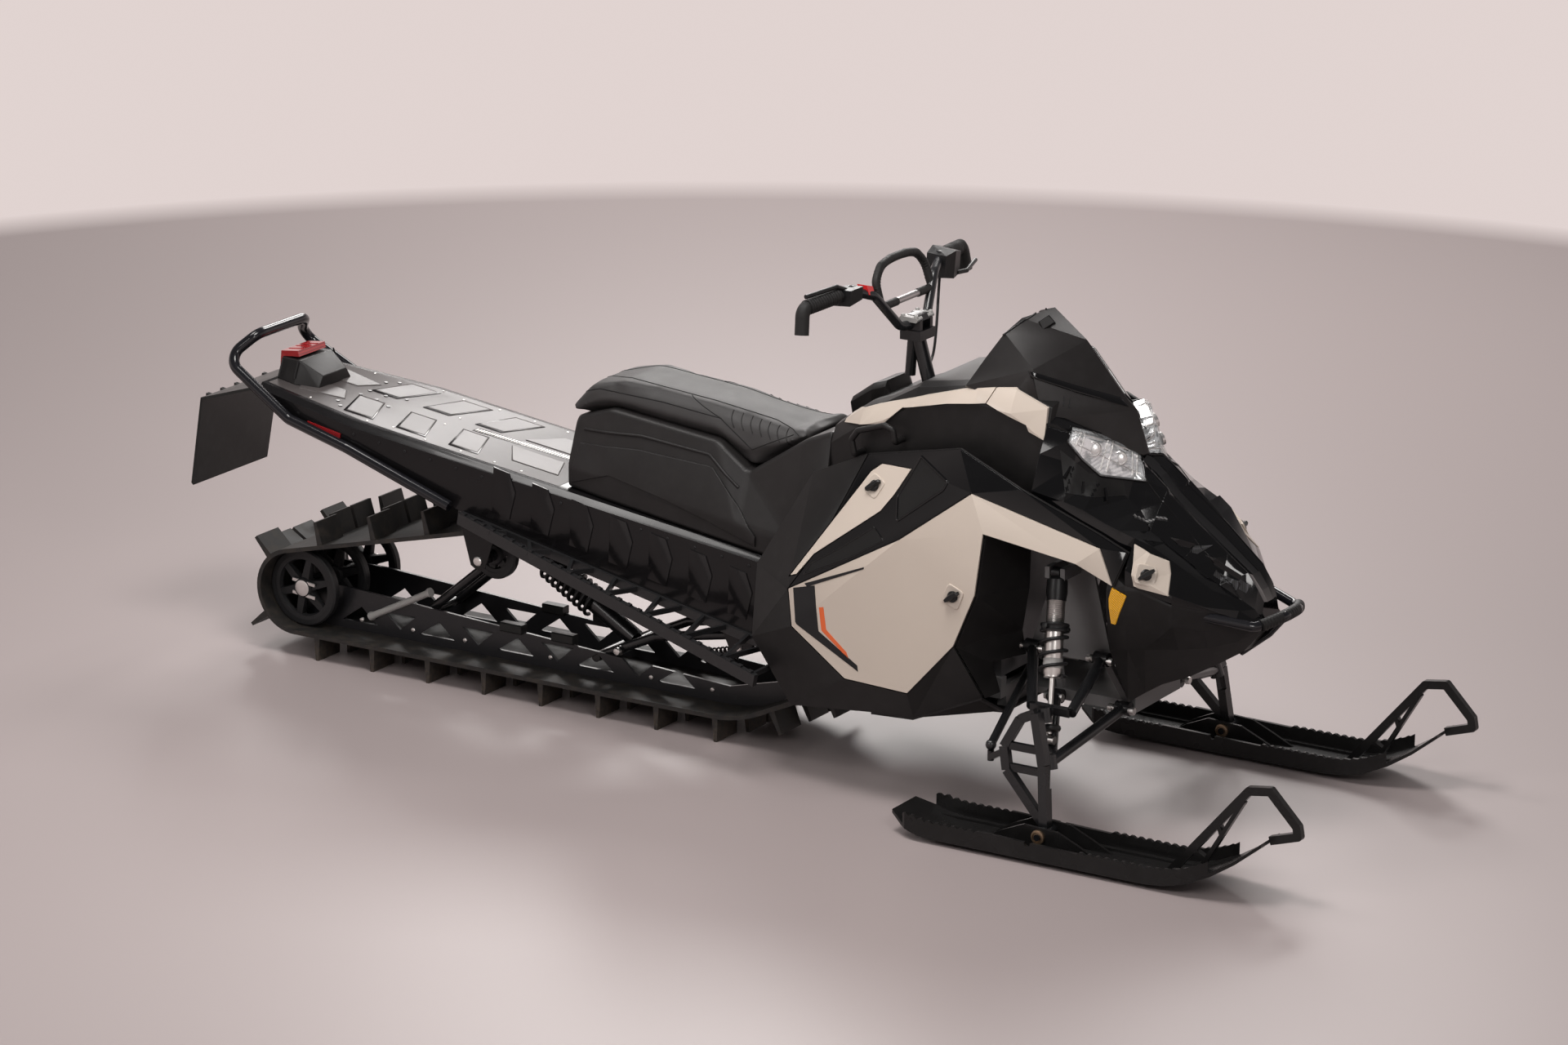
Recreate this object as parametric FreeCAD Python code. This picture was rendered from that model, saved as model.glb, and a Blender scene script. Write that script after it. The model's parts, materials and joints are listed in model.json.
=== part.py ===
"""Mountain snowmobile with a long lugged track, two skis and a tall handlebar.

X points forward, Y to the rider's left, Z up.  The origin is on the ground under
the middle of the whole machine.  All sizes are millimetres.
"""
import FreeCAD, Part
import math
import os

V = FreeCAD.Vector
os.makedirs("parts", exist_ok=True)

# Whole machine
SKI_BOLT_X = 1020.0
STANCE = 920.0
JOINT_GAP = 0.3
PANEL_GAP = 3.0

# Track and the wheels inside it
TRACK_WIDTH = 381.0
BELT = 11.0
LUG_HEIGHT = 60.0
LUG_SPACING = 172.0
LUG_WIDTH = 92.0
LUG_BASE = 17.0
LUG_TIP = 9.0
LUG_STAGGER = 26.0
LUG_PHASE = 56.0
IDLER_X = -1330.0
IDLER_R = 102.0
CARRIER_X = -745.0
CARRIER_Z = 355.0
CARRIER_R = 65.0
DRIVER_X = 290.0
DRIVER_Z = 298.0
DRIVER_R = 85.0
CURVE_X = -70.0
CURVE_R = 330.0
WHEEL_THICK = 24.0
AXLE_R = 11.0

# Rails and arms of the track suspension
RAIL_Y = 95.0
RAIL_THICK = 8.0
RAIL_HEIGHT = 78.0
ARM_TUBE_R = 12.0
FRONT_ARM_X = 20.0
FRONT_ARM_Z = 262.0
SHOCK_CROSS_X = -400.0
SHOCK_CROSS_Z = 150.0

# Tunnel
TUNNEL_FRONT_X = 465.0
TUNNEL_REAR_X = -1452.0
TUNNEL_Z0 = 510.5
TUNNEL_SLOPE = -0.130
TUNNEL_HALF = TRACK_WIDTH / 2 + 14.5
TUNNEL_REAR_HALF = 153.0
TUNNEL_TAPER_X = -1130.0
SHEET = 4.0
CARGO_X = -1200.0
CARGO_SPACING = 150.0
CARGO_HOLE_R = 4.5
BOARD_Z0 = 314.6
BOARD_SLOPE = -0.2076
BOARD_REAR_X = -790.0
BOARD_FRONT_X = 190.0
BOARD_FRONT_Y = TUNNEL_HALF + 195.0
BOARD_RAIL = 22.0

# Front suspension
ARM_R = 13.0
BALL_R = 17.3
BALL_TALL = 34.0
YOKE_BACK = 34.0
YOKE_HALF = 52.0
LOWER_PIVOT_Y = 130.0
LOWER_PIVOT_Z = 268.0
LOWER_REAR_X = 860.0
LOWER_FRONT_X = 1042.0
LOWER_BALL = (1003.0, 415.0, 208.0)
UPPER_PIVOT_Y = 165.0
UPPER_PIVOT_Z = 392.0
UPPER_REAR_X = 815.0
UPPER_FRONT_X = 1000.0
UPPER_BALL = (976.0, 396.0, 312.0)
SHOCK_TOP = (905.0, 215.0, 600.0)
SHOCK_FOOT = (972.0, 366.0, 244.2)
SHOCK_R = 27.0
SHOCK_EYE = 14.0
TIE_BALL = (849.0, 420.0, 225.0)
TIE_INNER = (778.0, 95.0, 330.0)
TIE_R = 10.0
TIE_BALL_R = 13.0
TIE_DROP = 30.0
SPINDLE_THICK = 22.0

# Skis
SKI_WIDTH = 176.0
SKI_WALL = 9.0
SKI_SOLE = 9.0
SKI_RAIL = 30.0
SKI_TAIL_X = 640.0
SKI_TIP_X = 1600.0
SKI_BOLT_Z = 52.0
SKI_BOLT_R = 8.0
KEEL_DEPTH = 12.0
KEEL_WIDTH = 26.0
SADDLE_HALF = 27.0
SADDLE_THICK = 7.0
LOOP_BAR = 17.0

# Steering
POST_TOP = (395.0, 0.0, 1052.0)
POST_FOOT = (481.0, 0.0, 761.0)
POST_R = 17.0
BAR_R = 11.5
BAR_RISE = 32.0
HOSE_R = 3.5
GRIP_R = 17.0

# Body skin
SKIN = 5.0
LIP_THICK = 3.0
LIP_REACH = 12.0
SEAT_HALF = 142.0
NOSE_REAR_X = LOWER_FRONT_X + 22.0

# Engine block
ENGINE_REAR_X = 500.0
ENGINE_FRONT_X = 744.0
ENGINE_HALF = 190.0
ENGINE_LOW = 310.0
ENGINE_TOP = 640.0
CRADLE_Y = 178.0
CRADLE_HEIGHT = 50.0
CRADLE_FRONT_X = 752.0
PAN_TOP = 234.3


def save(name, shape):
    """Write one node's solids to its own STEP file."""
    if not shape.isValid():
        shape = shape.copy()
        shape.fix(0.01, 0.01, 0.01)
    shape.exportStep("parts/" + name + ".step")
    print(
        name, "solids", len(shape.Solids), "valid", shape.isValid(), round(shape.Volume / 1000), "cm3",
    )


def largest(shape):
    """The biggest solid of a shape."""
    return max(shape.Solids, key=lambda solid: solid.Volume)


def group(shapes):
    """Put separate solids into one compound."""
    return Part.Compound([solid for shape in shapes for solid in shape.Solids])


def fuse(shapes):
    """Join touching solids into one."""
    first = shapes[0]
    joined = first.multiFuse(shapes[1:]) if len(shapes) > 1 else first
    return joined.removeSplitter()


def mirror_y(shape):
    """The left-hand copy of a right-hand shape."""
    return shape.mirror(V(0, 0, 0), V(0, 1, 0))


def both_sides(shape):
    """Shape made exactly symmetric from its right half."""
    reach = 3000
    right = shape.common(box(-reach, reach, -reach, 0, -reach, reach))
    return right.fuse(mirror_y(right)).removeSplitter()


def face_of(points):
    """Flat face through a closed ring of points."""
    return Part.Face(Part.makePolygon(points + [points[0]]))


def prism_y(outline, y_low, y_high):
    """Outline of (x, z) points carried from y_low to y_high."""
    face = face_of([V(x, y_low, z) for x, z in outline])
    return face.extrude(V(0, y_high - y_low, 0))


def prism_z(outline, z_low, z_high):
    """Outline of (x, y) points carried from z_low to z_high."""
    face = face_of([V(x, y, z_low) for x, y in outline])
    return face.extrude(V(0, 0, z_high - z_low))


def box(x_low, x_high, y_low, y_high, z_low, z_high):
    """Box between two corners."""
    return Part.makeBox(x_high - x_low, y_high - y_low, z_high - z_low, V(x_low, y_low, z_low))


def rod(start, end, radius):
    """Round bar between two points."""
    start = V(*start)
    end = V(*end)
    return Part.makeCylinder(radius, (end - start).Length, start, end - start)


def beam(start, end, width, height, up=(0, 0, 1)):
    """Bar of rectangular section between two points."""
    start = V(*start)
    end = V(*end)
    along = (end - start).normalize()
    side = V(*up).cross(along).normalize()
    top = along.cross(side)
    ring = [(-1, -1), (1, -1), (1, 1), (-1, 1)]
    corners = [start + side * (a * width / 2) + top * (b * height / 2) for a, b in ring]
    return face_of(corners).extrude(end - start)


def bent_wire(points, bend):
    """Straight runs through the points, joined by arcs of one radius."""
    points = [V(*p) for p in points]
    edges = []
    last = points[0]
    for before, corner, after in zip(points, points[1:], points[2:]):
        to_before = (before - corner).normalize()
        to_after = (after - corner).normalize()
        half = to_before.getAngle(to_after) / 2
        reach = bend / math.tan(half)
        middle = (to_before + to_after).normalize()
        centre = corner + middle * (bend / math.sin(half))
        first = corner + to_before * reach
        second = corner + to_after * reach
        if (first - last).Length > 0.01:
            edges.append(Part.LineSegment(last, first).toShape())
        edges.append(Part.Arc(first, centre - middle * bend, second).toShape())
        last = second
    edges.append(Part.LineSegment(last, points[-1]).toShape())
    return Part.Wire(edges)


def tube(points, radius, bend):
    """Round bar bent along the points."""
    path = bent_wire(points, bend)
    start = V(*points[0])
    along = (V(*points[1]) - start).normalize()
    ring = Part.Wire(Part.makeCircle(radius, start, along))
    return path.makePipeShell([ring], True, False)


def skin_y(corners, triangles, thickness):
    """Folded panel: a net of (x, z, y) corners, as thick as given towards the middle."""
    outer = {name: V(x, -y, z) for name, (x, z, y) in corners.items()}
    inner = {name: point + V(0, thickness, 0) for name, point in outer.items()}
    return thick_net(outer, inner, triangles)


def thick_net(outer, inner, triangles):
    """Closed solid between two nets that share their triangles."""
    faces = []
    edges = {}
    for names in triangles:
        faces.append(face_of([outer[n] for n in names]))
        faces.append(face_of([inner[n] for n in names]))
        for a, b in zip(names, names[1:] + names[:1]):
            key = frozenset((a, b))
            edges[key] = edges.get(key, 0) + 1
    for key, count in edges.items():
        if count == 1:
            a, b = tuple(key)
            faces.append(face_of([outer[a], outer[b], inner[b]]))
            faces.append(face_of([outer[a], inner[b], inner[a]]))
    return solid_of(faces)


def solid_of(faces):
    """Closed solid from faces that meet along their edges."""
    shell = Part.makeShell(faces)
    shell.sewShape()
    solid = Part.makeSolid(shell)
    if solid.Volume < 0:
        solid.reverse()
    return solid


def hull_loft(sections):
    """Solid between polygons of equal point counts, each side in two flat halves."""
    faces = [face_of(sections[0]), face_of(sections[-1])]
    for first, second in zip(sections, sections[1:]):
        count = len(first)
        for i in range(count):
            j = (i + 1) % count
            faces.append(face_of([first[i], first[j], second[j]]))
            faces.append(face_of([first[i], second[j], second[i]]))
    return solid_of(faces)


# The belt runs round four circles, taken anticlockwise as seen from the rider's right
def track_circles():
    """Centre and inner radius of each curve of the track."""
    ground = LUG_HEIGHT + BELT
    return [
        ((IDLER_X, ground + IDLER_R), IDLER_R),
        ((CURVE_X, ground + CURVE_R), CURVE_R),
        ((DRIVER_X, DRIVER_Z), DRIVER_R),
        ((CARRIER_X, CARRIER_Z), CARRIER_R),
    ]


def belt_runs(offset):
    """Straight runs and arcs of the belt, at a distance outside its inner face."""
    circles = track_circles()
    count = len(circles)
    normals = []
    for i in range(count):
        (x1, z1), r1 = circles[i]
        (x2, z2), r2 = circles[(i + 1) % count]
        dx = x2 - x1
        dz = z2 - z1
        length = math.hypot(dx, dz)
        sine = (r1 - r2) / length
        cosine = math.sqrt(1 - sine * sine)
        dx /= length
        dz /= length
        normals.append((cosine * dz + sine * dx, -cosine * dx + sine * dz))
    runs = []
    for i in range(count):
        (x, z), radius = circles[i]
        radius += offset
        start = math.atan2(normals[i - 1][1], normals[i - 1][0])
        turn = (math.atan2(normals[i][1], normals[i][0]) - start) % (2 * math.pi)
        runs.append(("arc", (x, z), radius, start, turn))
        (x2, z2), r2 = circles[(i + 1) % count]
        nx, nz = normals[i]
        r2 += offset
        runs.append(
            ("line", (x + radius * nx, z + radius * nz), (x2 + r2 * nx, z2 + r2 * nz), (nx, nz))
        )
    return runs


def belt_wire(offset, y):
    """Closed wire of the belt's side outline."""
    edges = []
    for run in belt_runs(offset):
        if run[0] == "arc":
            (x, z), radius, start, turn = run[1:]
            ends = [start, start + turn / 2, start + turn]
            points = [V(x + radius * math.cos(a), y, z + radius * math.sin(a)) for a in ends]
            edges.append(Part.Arc(*points).toShape())
        else:
            edges.append(
                Part.LineSegment(V(run[1][0], y, run[1][1]), V(run[2][0], y, run[2][1])).toShape()
            )
    return Part.Wire(edges)


def belt_length(offset):
    """Length once round the belt."""
    total = 0
    for run in belt_runs(offset):
        if run[0] == "arc":
            total += run[2] * run[4]
        else:
            total += math.dist(run[1], run[2])
    return total


def belt_place(offset, distance):
    """Point and outward direction at a distance along the belt."""
    for run in belt_runs(offset):
        if run[0] == "arc":
            (x, z), radius, start, turn = run[1:]
            if distance <= radius * turn:
                angle = start + distance / radius
                nx = math.cos(angle)
                nz = math.sin(angle)
                return (x + radius * nx, z + radius * nz), (nx, nz)
            distance -= radius * turn
        else:
            length = math.dist(run[1], run[2])
            if distance <= length:
                share = distance / length
                x = run[1][0] + (run[2][0] - run[1][0]) * share
                z = run[1][1] + (run[2][1] - run[1][1]) * share
                return (x, z), run[3]
            distance -= length
    return belt_place(offset, 0)


def paddle(place, normal, y_low, y_high, height, base, tip, root):
    """Tapered block standing on the belt, its foot sunk a little into it."""
    (x, z), (nx, nz) = place, normal
    tx = -nz
    tz = nx
    ring = [(-base / 2, -root), (base / 2, -root), (tip / 2, height), (-tip / 2, height)]
    outline = [(x + tx * a + nx * b, z + tz * a + nz * b) for a, b in ring]
    return prism_y(outline, y_low, y_high)


def make_track():
    """Rubber belt with rows of tall paddles outside and drive lugs inside."""
    half = TRACK_WIDTH / 2
    outer = Part.Face(belt_wire(BELT, -half))
    inner = Part.Face(belt_wire(0, -half))
    belt = outer.cut(inner).extrude(V(0, TRACK_WIDTH, 0))
    length = belt_length(BELT)
    rows = round(length / LUG_SPACING)
    spacing = length / rows
    root = BELT * 0.4
    edge = 3.0
    lugs = []
    for row in range(rows):
        shift = (row * spacing + LUG_PHASE) % length
        place, normal = belt_place(BELT, shift)
        for low in (-half + edge, half - edge - LUG_WIDTH):
            lugs.append(
                paddle(place, normal, low, low + LUG_WIDTH, LUG_HEIGHT, LUG_BASE, LUG_TIP, root)
            )
        place, normal = belt_place(BELT, (shift + LUG_STAGGER) % length)
        gap = 6.0
        for low in (-gap - LUG_WIDTH + 12, gap + 0.0):
            high = low + LUG_WIDTH - 12
            lugs.append(paddle(place, normal, low, high, LUG_HEIGHT, LUG_BASE, LUG_TIP, root))
    return fuse([belt] + lugs)


def wheel(x, z, y, radius, thickness):
    """Round wheel centred on y, lying across the machine."""
    start = V(x, y - thickness / 2, z)
    return Part.makeCylinder(radius, thickness, start, V(0, 1, 0))


def carrier_shaft():
    """Cross shaft of the rear arm, which the carrier wheels run on."""
    reach = TUNNEL_HALF - SHEET - JOINT_GAP
    return rod((CARRIER_X, -reach, CARRIER_Z), (CARRIER_X, reach, CARRIER_Z), ARM_TUBE_R + 4)


def make_idler_wheels():
    """Rear idler axle with its wheels, and the carrier wheels high in the loop."""
    ground = LUG_HEIGHT + BELT
    solids = []
    rear_z = ground + IDLER_R
    axle = rod(
        (IDLER_X, -TRACK_WIDTH / 2 + 30, rear_z), (IDLER_X, TRACK_WIDTH / 2 - 30, rear_z), AXLE_R,
    )
    rear = [axle]
    for y in (-RAIL_Y - 40, 0, RAIL_Y + 40):
        rear.append(wheel(IDLER_X, rear_z, y, IDLER_R - 0.5, WHEEL_THICK))
    solids.append(fuse(rear))
    for y in (-RAIL_Y - 30, RAIL_Y + 30):
        solids.append(wheel(CARRIER_X, CARRIER_Z, y, CARRIER_R - 0.5, WHEEL_THICK).cut(carrier_shaft()))
    return group(solids)


def make_drive_axle():
    """Drive axle with two toothed drivers at the front of the loop."""
    reach = TUNNEL_HALF - SHEET
    axle = rod((DRIVER_X, -reach, DRIVER_Z), (DRIVER_X, reach, DRIVER_Z), AXLE_R + 4)
    return fuse(
        [axle] + [wheel(DRIVER_X, DRIVER_Z, y, DRIVER_R - 0.5, WHEEL_THICK) for y in (-RAIL_Y, RAIL_Y)]
    )


def rail_outline():
    """Side outline of one slide rail."""
    low = LUG_HEIGHT + BELT
    rear = IDLER_X - 40
    slope = 32.0
    points = [(rear, low + 30), (rear + 45, low), (CURVE_X, low)]
    for step in range(1, 5):
        angle = math.radians(-90 + step * 9)
        points.append((CURVE_X + CURVE_R * math.cos(angle), low + CURVE_R + CURVE_R * math.sin(angle)))
    tip_x, tip_z = points[-1]
    points += [(tip_x - 12, tip_z + 30), (CURVE_X, low + RAIL_HEIGHT - slope)]
    points += [
        (-640, low + RAIL_HEIGHT), (IDLER_X + 100, low + RAIL_HEIGHT + slope),
        (rear, low + RAIL_HEIGHT + slope),
    ]
    return points


def make_slide_rails():
    """Pair of aluminium rails with truss openings."""
    low = LUG_HEIGHT + BELT
    rails = []
    base = 22.0
    web = 12.0
    rail = prism_y(rail_outline(), -RAIL_Y - RAIL_THICK / 2, -RAIL_Y + RAIL_THICK / 2)
    cuts = []
    x = IDLER_X + 90
    pitch = 120.0
    while x < CURVE_X - pitch:
        roof = low + RAIL_HEIGHT - 14
        lower = low + base
        if int((x - IDLER_X) / pitch) % 2 == 0:
            hole = [(x, lower), (x + pitch - web, lower), (x + pitch / 2, roof)]
        else:
            hole = [(x + web, roof), (x + pitch - web, roof), (x + pitch / 2, lower)]
        cuts.append(prism_y(hole, -RAIL_Y - RAIL_THICK, -RAIL_Y + RAIL_THICK))
        x += pitch
    rear_z = low + IDLER_R
    cuts.append(
        rod(
            (IDLER_X, -RAIL_Y - RAIL_THICK, rear_z), (IDLER_X, -RAIL_Y + RAIL_THICK, rear_z),
            AXLE_R + 0.2,
        )
    )
    for cut in cuts:
        rail = rail.cut(cut)
    rails.append(rail)
    rails.append(mirror_y(rail))
    return group(rails)


def tunnel_z(x):
    """Height of the tunnel's top at a place along it."""
    return TUNNEL_Z0 + TUNNEL_SLOPE * x


def board_z(x):
    """Height of the running board's top at a place along it."""
    return BOARD_Z0 + BOARD_SLOPE * x


def side_low(x):
    """Height of the lower edge of the tunnel's side."""
    if x >= BOARD_REAR_X:
        return board_z(x) - 4
    share = (x - TUNNEL_REAR_X) / (BOARD_REAR_X - TUNNEL_REAR_X)
    rear = tunnel_z(TUNNEL_REAR_X) - 48
    return rear + (board_z(BOARD_REAR_X) + 22 - rear) * share


def tunnel_rings():
    """Outer sections of the tunnel."""
    stations = [TUNNEL_REAR_X, TUNNEL_TAPER_X, BOARD_REAR_X, TUNNEL_FRONT_X]
    halves = [TUNNEL_REAR_HALF, TUNNEL_HALF, TUNNEL_HALF, TUNNEL_HALF]
    rings = []
    for x, half in zip(stations, halves):
        top = tunnel_z(x)
        bevel = 14.0
        ring = [(-half, side_low(x)), (-half, top - bevel), (-half + bevel, top)]
        ring += [(-y, z) for y, z in reversed(ring)]
        rings.append([V(x, y, z) for y, z in ring])
    return rings


def tunnel_hull():
    """Tunnel's outer form, closed."""
    return hull_loft(tunnel_rings())


def top_plate(outline, height):
    """Raised pressing on the tunnel's top, its outline as (x, y) points."""
    low = [V(x, y, tunnel_z(x) - 1) for x, y in outline]
    high = [p + V(0, 0, 1 + height) for p in low]
    return hull_loft([low, high])


def make_tunnel():
    """Folded sheet tunnel, open below, narrowing towards the rear, with pressed top and sides."""
    inner = []
    halves = [TUNNEL_REAR_HALF, TUNNEL_HALF, TUNNEL_HALF, TUNNEL_HALF]
    for ring, half in zip(tunnel_rings(), halves):
        x = ring[0].x
        top = tunnel_z(x)
        low = ring[0].z
        bevel = 14.0
        thin = half - SHEET
        ring = [(-thin, low - 60), (-thin, top - bevel - 1), (-thin + bevel - 2, top - SHEET)]
        ring += [(-y, z) for y, z in reversed(ring)]
        inner.append([V(x, y, z) for y, z in ring])
    past = V(30, 0, 30 * TUNNEL_SLOPE)
    inner[0] = [p - past for p in inner[0]]
    inner[-1] = [p + past for p in inner[-1]]
    sheet = tunnel_hull().cut(hull_loft(inner))
    raised = []
    for x in (-1230, -1070, -910):
        for side in (-1, 1):
            raised.append(
                top_plate(
                    [(x, side * 26), (x + 80, side * 26), (x + 130, side * 150), (x + 40, side * 150)],
                    2.5,
                )
            )
    for side in (-1, 1):
        for x in range(-700, 100, 115):
            z = side_low(x) + 34
            chevron = [(x, z), (x + 52, z - 11), (x + 70, z + 60), (x + 52, z + 108), (x + 6, z + 118)]
            y0, y1 = sorted((side * (TUNNEL_HALF - 1), side * (TUNNEL_HALF + 3)))
            raised.append(prism_y(chevron, y0, y1))
    brackets = [
        [(CARRIER_X - 60, board_z(CARRIER_X) + 6), (CARRIER_X + 62, board_z(CARRIER_X) - 10),
         (CARRIER_X + 20, CARRIER_Z - 18),
         (CARRIER_X, CARRIER_Z - 26), (CARRIER_X - 22, CARRIER_Z - 14)],
        [(FRONT_ARM_X - 56, board_z(FRONT_ARM_X) + 8), (FRONT_ARM_X + 58, board_z(FRONT_ARM_X) - 14),
         (
             FRONT_ARM_X + 22, FRONT_ARM_Z - 16,
         ), (FRONT_ARM_X, FRONT_ARM_Z - 24), (FRONT_ARM_X - 24, FRONT_ARM_Z - 12)],
    ]
    for side in (-1, 1):
        for outline in brackets:
            y0, y1 = sorted((side * (TUNNEL_HALF - SHEET), side * TUNNEL_HALF))
            raised.append(prism_y(outline, y0, y1))
    sheet = fuse([sheet] + raised)
    for y in (-CARGO_SPACING / 2, CARGO_SPACING / 2):
        z = tunnel_z(CARGO_X)
        sheet = sheet.cut(rod((CARGO_X, y, z - 30), (CARGO_X, y, z + 30), CARGO_HOLE_R))
    return sheet


def board_y(x):
    """Half-width of the running board's outer edge."""
    share = (x - BOARD_REAR_X) / (BOARD_FRONT_X - BOARD_REAR_X)
    return TUNNEL_HALF + 14 + (BOARD_FRONT_Y - TUNNEL_HALF - 14) * share


def make_running_board():
    """Right-hand running board: an edge rail, an inner rail and toothed rungs."""
    rail = BOARD_RAIL
    inner_y = TUNNEL_HALF + JOINT_GAP
    x0 = BOARD_REAR_X
    x1 = BOARD_FRONT_X

    def bar(xa, ya, xb, yb, width, height):
        start = (xa, -ya, board_z(xa) - height / 2)
        end = (xb, -yb, board_z(xb) - height / 2)
        return beam(start, end, width, height)

    pieces = [bar(x0, inner_y + 5, x1, inner_y + 5, 10, rail)]
    pieces.append(bar(x0, board_y(x0), x1, board_y(x1), 14, rail + 8))
    teeth = 30
    tooth = 6.0
    for i in range(teeth):
        x = x0 + (x1 - x0) * (i + 0.5) / teeth
        start = (x - tooth, -board_y(x - tooth), board_z(x - tooth))
        end = (x + tooth, -board_y(x + tooth), board_z(x + tooth))
        pieces.append(beam(start, end, 10, 9))
    count = 15
    for i in range(count + 1):
        x = x0 + 10 + (x1 - x0 - 20) * i / count
        skew = 34.0 * (1 if i % 2 else -1) if 0 < i < count else 0.0
        pieces.append(bar(x, inner_y + 5, x + skew, board_y(x), 9, 12))
    return fuse(pieces)


def make_rear_bumper():
    """Bent tube grab bar round the rear of the tunnel."""
    radius = 14.0
    z_tail = tunnel_z(TUNNEL_REAR_X)
    half = TUNNEL_REAR_HALF + radius + 2
    side = TUNNEL_HALF + radius + JOINT_GAP
    front = (BOARD_REAR_X - 30, -side, side_low(BOARD_REAR_X) + radius)
    low_rear = TUNNEL_REAR_X + 120
    taper = (TUNNEL_TAPER_X - low_rear) / (TUNNEL_TAPER_X - TUNNEL_REAR_X)
    low_half = TUNNEL_HALF + (TUNNEL_REAR_HALF - TUNNEL_HALF) * taper + radius + 3
    points = [
        front,
        (TUNNEL_TAPER_X, -side, side_low(TUNNEL_TAPER_X) + radius),
        (low_rear, -low_half, side_low(low_rear) + 6),
        (TUNNEL_REAR_X - 96, -half + 8, z_tail + 52),
        (TUNNEL_REAR_X - 40, -half + 66, z_tail + 112),
    ]
    points += [(x, -y, z) for x, y, z in reversed(points)]
    return tube(points, radius, 42)


def make_snow_flap():
    """Ribbed flap hanging behind the tunnel."""
    z_tail = tunnel_z(TUNNEL_REAR_X)
    root_x = TUNNEL_REAR_X + 12
    root = V(root_x, 0, tunnel_z(root_x) - SHEET - JOINT_GAP)
    bend = V(TUNNEL_REAR_X - 178, 0, z_tail - 62)
    foot = V(TUNNEL_REAR_X - 218, 0, z_tail - 296)
    half_root = 130.0
    half_bend = 165.0
    half_foot = 160.0
    thick = 6.0
    outline = [(root, half_root), (bend, half_bend), (foot, half_foot)]
    drop = V(thick, 0, -thick)
    outer = []
    for centre, half in outline:
        side = V(0, half, 0)
        outer.append([centre - side, centre + side, centre + drop + side, centre + drop - side])
    plate = hull_loft(outer)
    ribs = []
    for i in range(5):
        y = -120 + 60 * i
        ribs.append(beam(bend + V(-4, y, 0), foot + V(-4, y * 0.96, 0), 16, 12, (0, 1, 0)))
    return fuse([plate] + ribs)


def make_tail_light():
    """Low moulded housing of the tail lamp, on the tunnel's rear end."""
    rear = TUNNEL_REAR_X + 8
    top_share = 0.72
    rings = []
    for dx, half, height in [(0, 88, 52), (60, 96, 58), (120, 70, 30)]:
        x = rear + dx
        top = tunnel_z(x) + height
        low = tunnel_z(x) + JOINT_GAP
        high_half = half * top_share
        rings.append([V(x, -half, low), V(x, half, low), V(x, high_half, top), V(x, -high_half, top)])
    return hull_loft(rings)


def make_tail_lens():
    """Red lens along the upper rear of the tail lamp."""
    x = TUNNEL_REAR_X + 8
    z = tunnel_z(x)
    ring = [
        (x - 10, z + 24), (x - JOINT_GAP, z + 24), (x - JOINT_GAP, z + 52.5), (x + 50, z + 57),
        (x + 46, z + 72), (x - 6, z + 66),
    ]
    return prism_y(ring, -58, 58)


# Side view of the cushion, and the line that it shares with the base below it
SEAT_TOP = [(-530, 760), (-480, 828), (-380, 850), (-130, 828), (100, 790), (150, 800)]
SEAT_LOW = [(170, 796), (5, 688), (-84, 752), (-394, 784), (-505, 748)]
BASE_HALF = [(196, 142), (190, 138), (186, 136), (176, 130), (165, 122)]


def make_seat():
    """Cushion with sloping skirts, plain closed solid."""
    return prism_y(SEAT_TOP + SEAT_LOW, -SEAT_HALF, SEAT_HALF)


def make_seat_base():
    """Moulded base that carries the seat, standing on the tunnel."""
    gap = JOINT_GAP
    front = (CONSOLE[0][0] - JOINT_GAP, 826)
    rings = []
    for (x, z), (half, upper) in zip([front] + SEAT_LOW, BASE_HALF[:1] + BASE_HALF):
        low = tunnel_z(x) + gap
        top = z - gap
        waist = low + 60
        ring = [(half, low), (half, waist), (upper, top)]
        ring = [(-y, b) for y, b in ring] + [(y, b) for y, b in reversed(ring)]
        rings.append([V(x, y, b) for y, b in ring])
    return hull_loft(rings)


# Corners of the right-hand body skin: forward, up and out from the middle
SIDE = {
    "rear_foot": (150.0, 352.0, 352.0),
    "rear_waist": (108.0, 505.0, 262.0),
    "rear_top": (236.0, 742.0, 215.0),
    "top_rear": (392.0, 812.0, 222.0),
    "top_peak": (668.0, 878.0, 268.0),
    "fender_mid": (842.0, 810.0, 285.0),
    "fender_front": (1030.0, 721.0, 246.0),
    "brow": (1099.0, 684.0, 232.0),
    "beige_top": (728.0, 790.0, 318.0),
    "beige_front": (1046.0, 697.0, 274.0),
    "beige_tip": (1082.0, 609.0, 274.0),
    "waist": (546.0, 654.0, 338.0),
    "hip": (246.0, 486.0, 345.0),
    "hip_low": (264.0, 398.0, 358.0),
    "belly_rear": (418.0, 296.0, 368.0),
    "belly_front": (592.0, 290.0, 370.0),
    "arch_low": (716.0, 428.0, 372.0),
    "arch_mid": (768.0, 560.0, 366.0),
    "arch_top": (776.0, 704.0, 345.0),
    "arch_roof": (998.0, 658.0, 304.0),
    "foot_rear": (247.0, 190.0, 330.0),
    "foot_mid": (474.0, 214.0, 336.0),
    "foot_low": (586.0, 218.0, 330.0),
    "foot_front": (770.0, 300.0, 326.0),
}

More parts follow.
